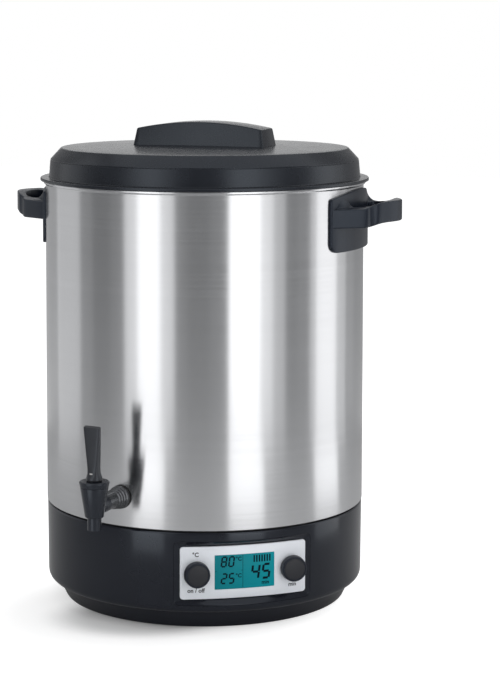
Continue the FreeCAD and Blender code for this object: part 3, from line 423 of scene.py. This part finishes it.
# %% Silver plate and display face
def slab(width, tall, thick, corner, opening=None, bend=plate_depth, strips=40, edge=0.35):
    """A bent plate with rounded corners in the panel's frame, with an optional rectangular opening."""
    bm = bmesh.new()
    bmesh.ops.create_cube(bm, size=1.0, matrix=Matrix.Diagonal((width * MM, thick * MM, tall * MM, 1.0)))
    posts = [e for e in bm.edges if abs((e.verts[0].co - e.verts[1].co).normalized().y) > 0.9]
    soften(bm, posts, corner, 5)
    front = [e for e in bm.edges if all(v.co.y < 0 for v in e.verts)]
    soften(bm, front, edge, 2)
    cuts = [(Vector((1, 0, 0)), (i / strips - 0.5) * width * MM) for i in range(1, strips)]
    if opening:
        cuts += [(Vector((1, 0, 0)), s * opening[0] / 2 * MM) for s in (-1, 1)]
        cuts += [(Vector((0, 0, 1)), s * opening[1] / 2 * MM) for s in (-1, 1)]
    for direction, distance in cuts:
        cut_across(bm, direction * distance, direction)
    if opening:
        inside = [f for f in bm.faces if abs(f.calc_center_median().x) < opening[0] / 2 * MM
                  and abs(f.calc_center_median().z) < opening[1] / 2 * MM]
        bmesh.ops.delete(bm, geom=inside, context="FACES")
        bmesh.ops.bridge_loops(bm, edges=[e for e in bm.edges if e.is_boundary])
    for vert in bm.verts:
        back = vert.co.y + thick * MM / 2
        vert.co.y = back - bend(vert.co.x / MM) * MM
        vert.co.z += PANEL_HEIGHT * MM
    return move(bm, PANEL_TURN)


piece(slab(130.0, 53.0, 2.0, 3.0, (62.0, 35.0)), "silver_plate", "root", "silver_fascia",
      stands_for=("panel_fascia",))
piece(slab(61.8, 34.8, 1.0, 0.4, None, lambda x: plate_depth(x) - 0.2, 24), "display_face", "root",
      "lcd_glass", stands_for=("lcd_window",))

# %% [markdown]
# The two knobs are pushed and turned, so each rides on its own turning body. A knob is a turned piece with
# a soft front edge and a shallow groove round a flat face. The face has its own darker finish, so it is a
# second thin piece on the same body.

# %% Knobs
KNOB_RADIUS = 13.1
KNOB_ACROSS = 50.0
KNOB_BACK = plate_depth(KNOB_ACROSS - KNOB_RADIUS) + 0.9
KNOB_FRONT = KNOB_BACK + 8.2
for name, side in (("temperature", -1.0), ("timer", 1.0)):
    deep = KNOB_FRONT - KNOB_BACK
    place = PANEL_TURN @ Matrix.Translation((side * KNOB_ACROSS * MM, -KNOB_BACK * MM, PANEL_HEIGHT * MM))
    place = place @ Matrix.Rotation(math.pi / 2, 4, "X")
    knob = lathe([(0.0, 0.6), (9.0, 0.6), (9.0, 0.0), (12.7, 0.0, 0.4), (KNOB_RADIUS, 1.4, 0.5),
                  (12.6, deep, 1.2), (10.9, deep, 0.2), (10.7, deep - 0.45), (0.0, deep - 0.45)], 96)
    piece(move(knob, place), f"{name}_grip", f"{name}_turn", "knob_black", stands_for=(f"{name}_knob",))
    cap = lathe([(0.0, deep - 0.6), (10.5, deep - 0.6), (10.5, deep - 0.15, 0.3), (0.0, deep - 0.15)], 96)
    piece(move(cap, place), f"{name}_face", f"{name}_turn", "knob_black", KNOB_FACE)

# %% [markdown]
# The display's figures are bars of a liquid crystal, so each figure is up to seven small blocks. The small
# words and the marks on the plate are text turned into meshes. All of them are made flat and then laid on
# the bent plate point by point, a few hundredths of a millimetre proud.

# %% Display figures and plate marks
SEGMENTS = {
    "top": (0.0, 1.0, True), "mid": (0.0, 0.0, True), "low": (0.0, -1.0, True),
    "up_left": (-1.0, 0.5, False), "up_right": (1.0, 0.5, False),
    "low_left": (-1.0, -0.5, False), "low_right": (1.0, -0.5, False)}
FIGURES = {
    "0": "top low up_left up_right low_left low_right", "2": "top mid low up_right low_left",
    "5": "top mid low up_left low_right",
    "8": "top mid low up_left up_right low_left low_right", "4": "mid up_left up_right low_right"}
FIGURE_LEAN = 0.13


def bar(bm, x, z, width, tall):
    """One flat block at a place on the plate."""
    made = bmesh.ops.create_cube(bm, size=1.0, matrix=Matrix.Translation((x, 0.0, z))
                                 @ Matrix.Diagonal((width, 0.06, tall, 1.0)))
    return made["verts"]


def figure(bm, digit, x, z, wide, tall, stroke):
    """One seven-bar digit centred at a place on the plate."""
    for segment in FIGURES[digit].split():
        sx, sz, level = SEGMENTS[segment]
        size = (wide - stroke * 0.7, stroke) if level else (stroke, tall / 2 - stroke * 0.35)
        for vert in bar(bm, x + sx * wide / 2, z + sz * tall / 2, *size):
            vert.co.x += FIGURE_LEAN * (vert.co.z - z)


def words(bm, text, x, z, size, align="CENTER"):
    """Flat letters of a text, added to the bmesh as a mesh."""
    curve = bpy.data.curves.new("mark", "FONT")
    curve.body = text
    curve.size = size
    curve.align_x = align
    curve.extrude = 0.03
    curve.offset = 0.15
    curve.resolution_u = 3
    holder = bpy.data.objects.new("mark", curve)
    bpy.context.scene.collection.objects.link(holder)
    mesh = baked(holder)
    mesh.transform(Matrix.Translation((x, 0.0, z)) @ Matrix.Rotation(math.pi / 2, 4, "X"))
    bm.from_mesh(mesh)
    bpy.data.objects.remove(holder)
    bpy.data.meshes.remove(mesh)


def lay_on_plate(bm, proud):
    """Take flat millimetre marks to the bent plate, with their fronts a little proud of it."""
    for vert in bm.verts:
        depth = plate_depth(vert.co.x) + proud - vert.co.y
        vert.co = Vector((vert.co.x * MM, -depth * MM, (vert.co.z + PANEL_HEIGHT) * MM))
    return move(bm, PANEL_TURN)


# %% The marks in their places
shown = bmesh.new()
for text, level in (("80", 10.4), ("25", -6.6)):
    for place, digit in enumerate(text):
        figure(shown, digit, -21.4 + place * 7.6, level, 4.6, 9.6, 1.6)
    words(shown, "°C", -9.6, level + 0.6, 5.6, "LEFT")
bar(shown, -16.4, 1.2, 28.0, 0.4)
bar(shown, -2.2, 0.0, 0.4, 34.0)
for count in range(7):
    bar(shown, 9.6 + count * 2.75, 12.0, 1.5, 7.0)
for place, digit in enumerate("45"):
    figure(shown, digit, 11.0 + place * 11.2, -1.4, 7.0, 13.8, 2.3)
words(shown, "min", 21.4, -14.4, 5.4)
piece(lay_on_plate(shown, -0.16), "display_marks", "root", "lcd_body", LCD_INK)
printed = bmesh.new()
words(printed, "°C", -50.0, 16.6, 6.0)
words(printed, "on / off", -49.5, -19.6, 5.8)
words(printed, "min", 50.5, -19.4, 5.8)
piece(lay_on_plate(printed, 0.02), "plate_marks", "root", "silver_fascia", INK)

# %% [markdown]
# The lid is a shallow turned cap with a brim that rests on the vessel's bead and a lip that drops inside.
# Its grip is a bar across the top with drafted sides and an arched back. The bar starts as a block: its top
# is drawn in, it is cut across in stations, the top of each station is set to the arch, and the edges are
# bevelled.

# %% Lid
CROWN_TOP, CROWN_FALL, CROWN_EDGE = 478.0, 2.6, 151.5


def crown(radius, drop=0.0):
    """A point of the lid's domed top, or of its underside at a drop below."""
    return (radius, CROWN_TOP - CROWN_FALL * (radius / CROWN_EDGE) ** 2 - drop)


lid_outline = [
    (163.5, 432.3, 0.4), (166.0, 432.3, 0.5), (166.0, 441.3), (173.4, 441.3, 0.6), (173.4, 444.5, 1.3),
    (164.4, 444.5, 1.2), (162.8, 462.4, 0.3), (162.1, 462.9, 0.1), (162.5, 463.6, 0.4), (151.5, 475.4, 1.0)]
lid_outline += [crown(r) for r in (135.0, 115.0, 90.0, 60.0, 30.0, 0.0)]
lid_outline += [crown(r, 2.5) for r in (0.0, 30.0, 60.0, 90.0, 115.0, 135.0)]
lid_outline += [(150.3, 472.9, 1.5), (160.2, 462.4, 1.5), (161.8, 444.0), (163.5, 441.3)]
piece(lathe(lid_outline, 256), "lid_cap", "lid", "lid_black", stands_for=("lid_shell",))

# %% The lid's bar
BAR_LOW, BAR_HIGH, BAR_ARCH = 476.6, 502.5, 330.0
BAR_FOOT = (144.0, 47.0)
BAR_TOP = (138.0, 40.0)
BAR_MIDDLE = (BAR_LOW + BAR_HIGH) / 2
bar_bm = bmesh.new()
bmesh.ops.create_cube(bar_bm, size=1.0, matrix=Matrix.Translation((0, 0, BAR_MIDDLE * MM))
                      @ Matrix.Diagonal((BAR_FOOT[0] * MM, BAR_FOOT[1] * MM, (BAR_HIGH - BAR_LOW) * MM, 1.0)))
for vert in bar_bm.verts:
    if vert.co.z > BAR_MIDDLE * MM:
        vert.co.x *= BAR_TOP[0] / BAR_FOOT[0]
        vert.co.y *= BAR_TOP[1] / BAR_FOOT[1]
for station in range(-66, 67, 6):
    cut_across(bar_bm, (station * MM, 0, 0), (1, 0, 0))
for vert in bar_bm.verts:
    if vert.co.z > BAR_MIDDLE * MM:
        x = vert.co.x / MM
        vert.co.z -= (BAR_ARCH - math.sqrt(BAR_ARCH ** 2 - x ** 2)) * MM
ridges = [e for e in bar_bm.edges if len(e.link_faces) == 2 and e.calc_face_angle() > 0.6
          and max(v.co.z for v in e.verts) > (BAR_LOW + 3.0) * MM]
soften(bar_bm, ridges, 1.4, 3)
piece(bar_bm, "lid_bar", "lid", "lid_black", stands_for=("lid_handle",), sharp=40.0)

# %% [markdown]
# A side handle is one moulding: a plate that hugs the steel, and a grip that stands out from it with an
# opening for the fingers. The plate is drawn flat, cut in strips and bent round the vessel. The grip is the
# ring between two smooth outlines seen from above, raised to a thickness, with the outer end lifted. A
# hollow curve leads from the grip up into the plate; it is wide over the two arms, so it is a run of sections
# whose reach changes along the plate. The second handle is the first one turned half way round.

# %% A smooth path, and one mesh added to another
def smooth_path(points, steps=7):
    """A smooth curve through points (Catmull-Rom), open at both ends."""
    run = [points[0]] + list(points) + [points[-1]]
    path = []
    for a, b, c, d in zip(run, run[1:], run[2:], run[3:]):
        a, b, c, d = (Vector(p) for p in (a, b, c, d))
        for step in range(steps):
            t = step / steps
            path.append(0.5 * (2 * b + (c - a) * t + (2 * a - 5 * b + 4 * c - d) * t * t
                               + (3 * b - a - 3 * c + d) * t ** 3))
    return path + [Vector(points[-1])]


def joined(bm, other):
    """Add another bmesh's faces to this one."""
    carrier = bpy.data.meshes.new("carrier")
    other.to_mesh(carrier)
    other.free()
    bm.from_mesh(carrier)
    bpy.data.meshes.remove(carrier)


# %% The handle's plate
PLATE_HALF = 67.0
PLATE_THICK = 5.0
PLATE_BACK = 168.1
PLATE_BEND = 173.1
PLATE_LOW, PLATE_SHOULDER, PLATE_TOP = 374.0, 428.5, 435.6
LEAN_FROM, LEAN_RUN, LEAN_RADIUS = 418.0, 18.0, 19.0


def plate_front(along, z):
    """How far the plate's front stands off its back: thin at the ends, and leaning in towards the top."""
    ends = 1.0 - 0.5 * (abs(along) / PLATE_HALF) ** 3
    lean = math.sqrt(1.0 - (min(LEAN_RUN, max(0.0, z - LEAN_FROM)) / LEAN_RADIUS) ** 2)
    return PLATE_THICK * ends * lean


def handle_plate(bm):
    """The curved plate: an arched top, rounded lower corners and thin ends, bent round the vessel."""
    half, shoulder, corner = PLATE_HALF, PLATE_SHOULDER, 10.0
    side = [(half, shoulder - 5.0), (half - 0.3, shoulder - 1.5), (half - 1.5, shoulder)]
    arch = [(half * left, shoulder + (PLATE_TOP - shoulder) * (1 - left ** 2))
            for left in (1 - i / 12 for i in range(1, 13))]
    turn = [(half - corner + corner * math.sin(a), PLATE_LOW + corner - corner * math.cos(a))
            for a in (i * math.pi / 16 for i in range(0, 9))]
    right = turn + side + arch
    outline = right + [(-y, z) for y, z in reversed(right[:-1])]
    edges = closed_loop(bm, [(0.0, y * MM, z * MM) for y, z in outline])
    made = bmesh.ops.edgeloop_fill(bm, edges=edges)
    raised = bmesh.ops.extrude_face_region(bm, geom=made["faces"])
    lifted = [g for g in raised["geom"] if isinstance(g, bmesh.types.BMVert)]
    bmesh.ops.translate(bm, verts=lifted, vec=(PLATE_THICK * MM, 0, 0))
    rim = [e for e in bm.edges if all(v in lifted for v in e.verts) and len(e.link_faces) == 2]
    soften(bm, rim, 1.5, 3)
    for station in range(-64, 65, 4):
        cut_across(bm, (0, station * MM, 0), (0, 1, 0))
    for level in range(418, 436, 2):
        cut_across(bm, (0, 0, level * MM), (0, 0, 1))
    for vert in bm.verts:
        share = vert.co.x / (PLATE_THICK * MM)
        radius = (PLATE_BACK + share * plate_front(vert.co.y / MM, vert.co.z / MM)) * MM
        angle = math.asin(vert.co.y / (PLATE_BEND * MM))
        vert.co.x = radius * math.cos(angle)
        vert.co.y = radius * math.sin(angle)


# %% The hollow curve between grip and plate
FILLET_REACH = 10.4
FILLET_LEVEL = 419.0
FILLET_FOOT = 414.0
FILLET_BACK = 169.0
FILLET_STEP = 0.355


def root_fillet():
    """The hollow curve where the plate rises from the grip: wide over the arms, narrow behind the opening."""
    bm = bmesh.new()
    loops = []
    for step in range(-58, 59):
        bearing = step * FILLET_STEP
        over_arm = ramp(abs(bearing), 11.0, 14.4)
        near_end = ramp(abs(bearing), 15.0, 20.6)
        reach = 0.02 + FILLET_REACH * over_arm * over_arm * (3 - 2 * over_arm) * (1 - near_end * near_end)
        along = PLATE_BEND * math.sin(math.radians(bearing))
        curve = []
        for turn in range(10):
            quarter = turn * math.pi / 18
            z = FILLET_LEVEL + 1.1 * reach * (1 - math.cos(quarter))
            curve.append((PLATE_BACK - 0.15 + plate_front(along, z) + reach * (1 - math.sin(quarter)), z))
        outline = [(FILLET_BACK, FILLET_FOOT), (curve[0][0], FILLET_FOOT)] + curve
        outline.append((FILLET_BACK, curve[-1][1]))
        c, s = math.cos(math.radians(bearing)), math.sin(math.radians(bearing))
        loops.append(closed_loop(bm, [(r * c * MM, r * s * MM, z * MM) for r, z in outline]))
    capped(bm, loops)
    return bm


# %% The grip and the two handles
GRIP_ROOT = (170.0, 64.6)
GRIP_LOW, GRIP_HIGH = 399.2, 418.4
GRIP_LOW_LIFT, GRIP_HIGH_LIFT, GRIP_INWARD_RISE = 4.6, 6.8, 1.8


def lift_of(x):
    """The share of the outer end's lift at a distance from the axis."""
    t = ramp(x, 187.0, 204.0)
    return t * t * (3 - 2 * t)


def handle_grip():
    """The grip: the ring between an outer and an inner outline, thick and rising outwards."""
    root_radius, root_half = GRIP_ROOT
    outer_half = smooth_path([(157.0, root_half), (166.0, 60.2), (177.0, 54.2), (186.5, 48.6), (189.8, 45.2),
                              (191.4, 41.6), (194.2, 39.0), (198.5, 36.0), (203.5, 27.4), (208.5, 18.0),
                              (212.0, 9.5), (213.6, 0.0)])
    span = math.asin(root_half / root_radius)
    root = [(root_radius * math.cos(a), root_radius * math.sin(a))
            for a in (span * (1 - i / 12) for i in range(1, 24))]
    outer = [tuple(p) for p in outer_half] + [(x, -y) for x, y in reversed(outer_half[:-1])]
    outer += [(x, -y) for x, y in root]
    inner_half = smooth_path([(172.2, 0.0), (171.4, 18.0), (170.2, 31.0), (173.0, 37.4), (179.6, 38.0),
                              (187.2, 33.0), (194.5, 25.0), (199.0, 15.0), (200.4, 0.0)], 8)
    inner = [tuple(p) for p in inner_half] + [(x, -y) for x, y in reversed(inner_half[1:-1])]
    bm = bmesh.new()
    loops = [closed_loop(bm, [(x * MM, y * MM, 0.0) for x, y in path]) for path in (outer, inner)]
    ring = bmesh.ops.triangle_fill(bm, edges=loops[0] + loops[1], use_beauty=True)
    faces = [g for g in ring["geom"] if isinstance(g, bmesh.types.BMFace)]
    raised = bmesh.ops.extrude_face_region(bm, geom=faces)
    upper = {g for g in raised["geom"] if isinstance(g, bmesh.types.BMVert)}
    for vert in bm.verts:
        lift = lift_of(vert.co.x / MM)
        inward = (1.0 - ramp(abs(vert.co.y) / MM, 35.0, 50.0)) * (1.0 - lift)
        if vert in upper:
            vert.co.z = (GRIP_HIGH + GRIP_HIGH_LIFT * lift + GRIP_INWARD_RISE * inward) * MM
        else:
            vert.co.z = (GRIP_LOW + GRIP_LOW_LIFT * lift) * MM
    bmesh.ops.recalc_face_normals(bm, faces=bm.faces)
    rims = [e for e in bm.edges if len(e.link_faces) == 2 and e.calc_face_angle() > 0.9
            and abs(e.verts[0].co.z - e.verts[1].co.z) < 5 * MM]
    soften(bm, rims, 1.6, 3)
    return bm


for name, turn in (("right", 0.0), ("left", math.pi)):
    handle_bm = bmesh.new()
    handle_plate(handle_bm)
    joined(handle_bm, root_fillet())
    joined(handle_bm, handle_grip())
    piece(move(handle_bm, Matrix.Rotation(turn, 4, "Z")), f"{name}_grip", "root", "handle_black",
          stands_for=(f"{name}_handle",))

# %% [markdown]
# The tap hangs from a short neck with ridges to grip it by, on a thin rubber washer against the steel. Neck
# and washer are turned about a level axis. The body is a cone with a spout below and a bonnet above, all
# turned about the tap's own upright axis.

# %% Tap body, bonnet and neck
TAP_REACH = 216.0
TAP_AXIS_HEIGHT = 133.5
TAP_TURN = Matrix.Rotation(TAP_BEARING, 4, "Z")
TAP_PLACE = TAP_TURN @ Matrix.Translation((0, -TAP_REACH * MM, 0))
tap_bm = lathe([
    (5.2, 110.0, 0.3), (7.0, 110.0, 0.5), (7.0, 122.6, 0.4), (9.3, 123.2, 0.7), (14.0, 152.9, 0.5),
    (5.2, 152.9)], 72)
socket = lathe([(0.0, 198.5), (9.1, 198.5, 0.5), (9.1, 212.0), (0.0, 212.0)], 64)
TAP_LEVEL = (Matrix.Translation((0, TAP_REACH * MM, TAP_AXIS_HEIGHT * MM))
             @ Matrix.Rotation(math.pi / 2, 4, "X"))
joined(tap_bm, move(socket, TAP_LEVEL))
piece(move(tap_bm, TAP_PLACE), "tap_cone", "root", "tap_black", stands_for=("tap_body",))
cap_bm = lathe([
    (4.0, 153.0), (14.0, 153.0, 0.3), (15.2, 158.0, 0.6), (13.8, 159.0, 0.4), (4.0, 159.0)], 72)
piece(move(cap_bm, TAP_PLACE), "tap_cap", "root", "tap_black", stands_for=("tap_bonnet",))
neck_bm = lathe([
    (5.0, 154.8), (8.0, 154.8, 0.5), (8.0, 169.2), (11.5, 169.2, 0.3), (11.8, 172.2, 0.9), (10.4, 173.6, 0.4),
    (11.0, 175.8, 0.8), (9.8, 177.2, 0.3), (10.4, 179.4, 0.8), (9.3, 180.8, 0.3), (9.9, 183.0, 0.8),
    (8.7, 184.4, 0.3), (8.7, 199.0), (5.0, 199.0)], 96)
piece(move(move(neck_bm, TAP_LEVEL), TAP_PLACE), "tap_neck", "root", "tap_black", TAP_GLOSS,
      stands_for=("tap_shank",))
washer_bm = lathe([(8.1, 168.3), (11.9, 168.3, 0.2), (11.9, 169.3, 0.2), (8.1, 169.3)], 96)
piece(move(move(washer_bm, TAP_LEVEL), TAP_PLACE), "tap_washer", "root", "rubber",
      stands_for=("tap_outer_gasket",))

# %% [markdown]
# The lever is a moulded paddle: round at its foot, thin and wide at its top, and leaning out a little. It is
# a run of rounded sections with faces bridged from each one to the next, and it rides on the lever's body.

# %% Tap lever
LEVER_LEAN = 3.4
LEVER_LEAN_FROM, LEVER_LEAN_RUN = 163.0, 50.0


def section(bm, height, width, thick, squareness, slant=0.0, count=48):
    """A loop of a rounded section of the lever at one height, a little further out towards the top."""
    points = []
    out = LEVER_LEAN * max(0.0, (height - LEVER_LEAN_FROM) / LEVER_LEAN_RUN)
    for index in range(count):
        angle = math.tau * index / count
        c, s = math.cos(angle), math.sin(angle)
        x = math.copysign(abs(c) ** (2 / squareness), c) * width / 2
        y = math.copysign(abs(s) ** (2 / squareness), s) * thick / 2
        points.append((x * MM, (y - out) * MM, (height + slant * y) * MM))
    return closed_loop(bm, points)


lever_bm = bmesh.new()
lever_loops = [section(lever_bm, *row) for row in (
    (159.6, 15.2, 15.2, 2.0), (160.1, 16.0, 16.0, 2.0), (162.6, 16.0, 15.8, 2.0), (163.6, 15.0, 14.2, 2.2),
    (166.0, 12.9, 11.2, 2.8), (170.0, 12.0, 9.4, 3.6), (174.0, 12.1, 8.6, 4.5), (185.0, 13.9, 7.4, 6.0),
    (200.0, 16.3, 5.9, 7.0), (211.0, 18.1, 4.8, 7.0, 0.3), (212.3, 18.3, 4.6, 7.0, 0.3),
    (212.9, 17.7, 3.9, 6.0, 0.3))]
capped(lever_bm, lever_loops)
# the lever wears the lighter black, with its painted sheen
piece(move(lever_bm, TAP_PLACE), "lever_paddle", "lever", "tap_black", LEVER_PAINTED_SHEEN,
      stands_for=("tap_lever",))

# %% [markdown]
# Inside the tap a coil spring presses the seat cup down. It is wound from wire on a mandrel, so it is a small
# circle swept round the axis with a steady rise. Its top stays against the bonnet.

# %% Tap spring
SPRING_LOW, SPRING_HIGH, SPRING_WIRE, SPRING_MIDDLE = 128.8, 152.8, 0.5, 4.5
SPRING_TURNS = 8
SPRING_STEPS = 24 * SPRING_TURNS
coil_bm = bmesh.new()
ring = bmesh.ops.create_circle(coil_bm, cap_ends=False, radius=SPRING_WIRE * MM, segments=10)["verts"]
start_at = Matrix.Translation((SPRING_MIDDLE * MM, 0, (SPRING_LOW + SPRING_WIRE) * MM))
bmesh.ops.transform(coil_bm, matrix=start_at @ Matrix.Rotation(math.pi / 2, 4, "X"), verts=ring)
first = coil_bm.edges[:]
rise = (SPRING_HIGH - SPRING_LOW - 2 * SPRING_WIRE) / SPRING_STEPS
swept = bmesh.ops.spin(coil_bm, geom=ring + first, cent=(0, 0, 0), axis=(0, 0, 1), dvec=(0, 0, rise * MM),
                       angle=math.tau * SPRING_TURNS, steps=SPRING_STEPS, use_duplicate=False)
last = [g for g in swept["geom_last"] if isinstance(g, bmesh.types.BMEdge)]
for end in (first, last):
    bmesh.ops.edgeloop_fill(coil_bm, edges=end)
coil = piece(move(coil_bm, TAP_PLACE), "tap_coil", "root", "zinc_steel", stands_for=("tap_spring",))
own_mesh(coil)

# %% [markdown]
# Every other solid keeps its own shape: screws, feet, gaskets, the rack, the heater and the boards. Each
# one takes the finish of its material slot from the record.

# %% Finishes of the solids that stay
for row in frame["record"]["subparts"]:
    solid = frame["nodes"][row["node"]]
    solid.data.materials.clear()
    solid.data.materials.append(LOOKS[row["material_slot"]])

# %% [markdown]
# The photograph's setting is a white sweep. The floor is a plain white sheet that takes the real shadow. It
# also glows, so that it reaches white where it is lit, and its glow is dimmed in an oval in front of the foot
# on the left, which paints a shadow there. The camera sees this white all round. Mirror and glass rays see it
# straight behind the object, where the sweep stands, and on the other sides they see the dim room.

# %% Rays that see the white sweep
CAMERA_TURN = 19.0
TO_RIGHT = (math.cos(math.radians(CAMERA_TURN)), math.sin(math.radians(CAMERA_TURN)), 0.0)
SWEEP_EDGE = (0.97, 0.99)  # cosines of the bearings between which the sweep ends, 14 and 8 degrees
TO_BACK = (-math.sin(math.radians(CAMERA_TURN)), math.cos(math.radians(CAMERA_TURN)), 0.0)


def eased_range(source, low, high, to_low, to_high):
    """A value that goes softly from one level to another while the source goes from low to high."""
    return source.node("ShaderNodeMapRange", {"interpolation_type": "SMOOTHSTEP"}, {
        "Value": source, "From Min": low, "From Max": high, "To Min": to_low, "To Max": to_high})


def shown_white(start, facing_back):
    """1 for camera rays, and for mirror and glass rays that go straight behind the object."""
    behind = eased_range(facing_back, *SWEEP_EDGE, 0.0, 1.0)
    camera_ray, glossy_ray, glass_ray = (
        start.node("ShaderNodeLightPath", output=f"Is {kind} Ray")
        for kind in ("Camera", "Glossy", "Transmission"))
    return camera_ray.math("MAXIMUM", glossy_ray.math("MAXIMUM", glass_ray) * behind)


# %% Floor, with a painted shadow
FLOOR_HALF = 6.0
# where the painted shadow's oval lies on the floor, and how it is stretched
PAINTED_SHADOW_ACROSS, PAINTED_SHADOW_ACROSS_SCALE = 0.088, 1.35
PAINTED_SHADOW_DEEP, PAINTED_SHADOW_DEEP_SCALE = 0.1925, 1.75
floor_bm = bmesh.new()
bmesh.ops.create_grid(floor_bm, x_segments=1, y_segments=1, size=FLOOR_HALF)
floor_mesh = bpy.data.meshes.new("floor")
floor_bm.to_mesh(floor_mesh)
floor_bm.free()
floor = bpy.data.objects.new("floor", floor_mesh)
bpy.context.scene.collection.objects.link(floor)
sheet = bpy.data.materials.new("white_sheet")
sheet.use_nodes = True
sheet.node_tree.nodes.clear()
start = Wire(sheet.node_tree)
matt = start.node("ShaderNodeBsdfDiffuse", {}, {"Color": (0.62, 0.62, 0.62, 1.0)})
spot = start.node("ShaderNodeTexCoord", output=3)
across = measured(spot, TO_RIGHT)
deep = measured(spot, TO_BACK)
# painted shadow: the floor's glow falls off in an oval round a point in front of the foot on the left, so the
# floor is painted darker there
from_painted_shadow = ((across * PAINTED_SHADOW_ACROSS_SCALE + PAINTED_SHADOW_ACROSS) ** 2.0
              + (deep * PAINTED_SHADOW_DEEP_SCALE + PAINTED_SHADOW_DEEP) ** 2.0) ** 0.5
glow_with_painted_shadow = eased_range(from_painted_shadow, 0.07, 0.15, 0.13, 0.56) + eased_range(from_painted_shadow, 0.13, 0.40, 0.0, 0.44)
glow = start.node("ShaderNodeEmission", {}, {"Color": glow_with_painted_shadow, "Strength": 1.0})
both = start.node("ShaderNodeAddShader", {}, {0: matt, 1: glow})
distance = (across ** 2.0 + deep ** 2.0) ** 0.5
seen = shown_white(start, deep / distance)
mixed = start.node("ShaderNodeMixShader", {}, {0: seen, 1: matt, 2: both})
start.node("ShaderNodeOutputMaterial", {}, {"Surface": mixed})
floor_mesh.materials.append(sheet)
print("floor", 2 * FLOOR_HALF, "metres wide")

# %% World
scene = bpy.context.scene
world = bpy.data.worlds.new("room")
scene.world = world
world.use_nodes = True
world.node_tree.nodes.clear()
start = Wire(world.node_tree)
seen = shown_white(start, measured(start.node("ShaderNodeTexCoord"), TO_BACK))
room = start.node("ShaderNodeBackground", {}, {"Color": (0.97, 0.98, 1.0, 1.0), "Strength": 0.27})
white = start.node("ShaderNodeBackground", {}, {"Color": (1.0, 1.0, 1.0, 1.0), "Strength": 1.0})
mixed = start.node("ShaderNodeMixShader", {}, {0: seen, 1: room, 2: white})
start.node("ShaderNodeOutputWorld", {}, {"Surface": mixed})
print("world", world.name)

# %% [markdown]
# Tall soft boxes stand round the object, and the steel shows them as upright bands; each band fades at its
# sides, so wider and weaker boxes stand with the bright ones. Three thin lamps lie close to the floor for the
# lower part of the bands, which the tall boxes can't reach. Two weak lamps behind the object lift the steel's
# outer edges. One lamp is high at the back and one is above.

# %% Lamps
LOW_LAMP = {"low": 0.003, "high": 0.066, "reach": 0.5}
EDGE_LAMP = {"low": 0.03, "high": 0.42}
TOP_LAMP_SIZE = 3.0


def soft_box(name, from_azimuth, to_azimuth, radiance, low=0.005, high=1.15, reach=0.75):
    """An upright lamp facing the axis, between two azimuths to the right of the camera's own line."""
    half = math.radians(to_azimuth - from_azimuth) / 2
    width = 2 * reach * math.tan(half)
    lamp = bpy.data.lights.new(name, "AREA")
    lamp.shape = "RECTANGLE"
    lamp.size = width
    lamp.size_y = high - low
    lamp.energy = radiance * width * (high - low) * math.pi
    holder = bpy.data.objects.new(name, lamp)
    angle = math.radians((from_azimuth + to_azimuth) / 2 + CAMERA_TURN)
    holder.location = (reach * math.sin(angle), -reach * math.cos(angle), (low + high) / 2)
    holder.rotation_euler = (math.pi / 2, 0.0, angle)
    holder.visible_camera = False
    scene.collection.objects.link(holder)


for name, start_at, end_at, radiance in (
        ("box_key", 15.1, 35.6, 0.70), ("box_key_middle", 15.1, 44.5, 0.45),
        ("box_key_wide", 15.1, 53.4, 0.38),
        ("box_left", -43.5, -28.0, 0.70), ("box_left_wide", -53.0, -19.0, 0.66),
        ("box_right", 78.3, 99.0, 0.62), ("box_right_wide", 73.0, 112.0, 0.42),
        ("box_back_left", -120.0, -90.8, 0.34), ("box_back_left_soft", -122.0, -79.0, 0.09),
        ("box_left_soft", -64.0, -11.0, 0.05), ("box_key_soft", 3.0, 66.0, 0.045),
        ("box_right_soft", 64.0, 126.0, 0.07)):
    soft_box(name, start_at, end_at, radiance)
for name, start_at, end_at, radiance in (
        ("low_key", 14.2, 36.0, 1.15), ("low_left", -44.0, -24.0, 1.2), ("low_right", 73.0, 97.0, 0.9)):
    soft_box(name, start_at, end_at, radiance, **LOW_LAMP)
soft_box("box_edge_left", -164.0, -119.0, 0.22, **EDGE_LAMP)
soft_box("box_edge_right", 114.0, 164.0, 0.12, **EDGE_LAMP)
soft_box("box_back", 150.0, 210.0, 0.95, low=1.0, high=1.7, reach=1.4)
top = bpy.data.objects.new("box_top", bpy.data.lights.new("box_top", "AREA"))
top.data.size = TOP_LAMP_SIZE
top.data.energy = 0.6 * TOP_LAMP_SIZE ** 2 * math.pi
top.location = (0.0, 0.0, 2.3)
scene.collection.objects.link(top)

# %% [markdown]
# The camera's place, lens and shift come from a fit of known points of the object to the photograph. It
# stands a little above the lid and looks slightly down, and the shift puts the object where the
# photograph's frame has it.

# %% Camera
camera_data = bpy.data.cameras.new("photo_camera")
camera_data.lens = 106.43
camera_data.sensor_width = 36.0
camera_data.shift_x = 0.0660
camera_data.shift_y = -0.2099
camera = bpy.data.objects.new("photo_camera", camera_data)
camera.location = (0.6981, -2.0274, 0.6007)
camera.rotation_euler = (math.radians(90.0 - 4.827), 0.0, math.radians(CAMERA_TURN))
scene.collection.objects.link(camera)
scene.camera = camera
scene.view_settings.view_transform = "Standard"
print("camera at", [round(c, 3) for c in camera.location])
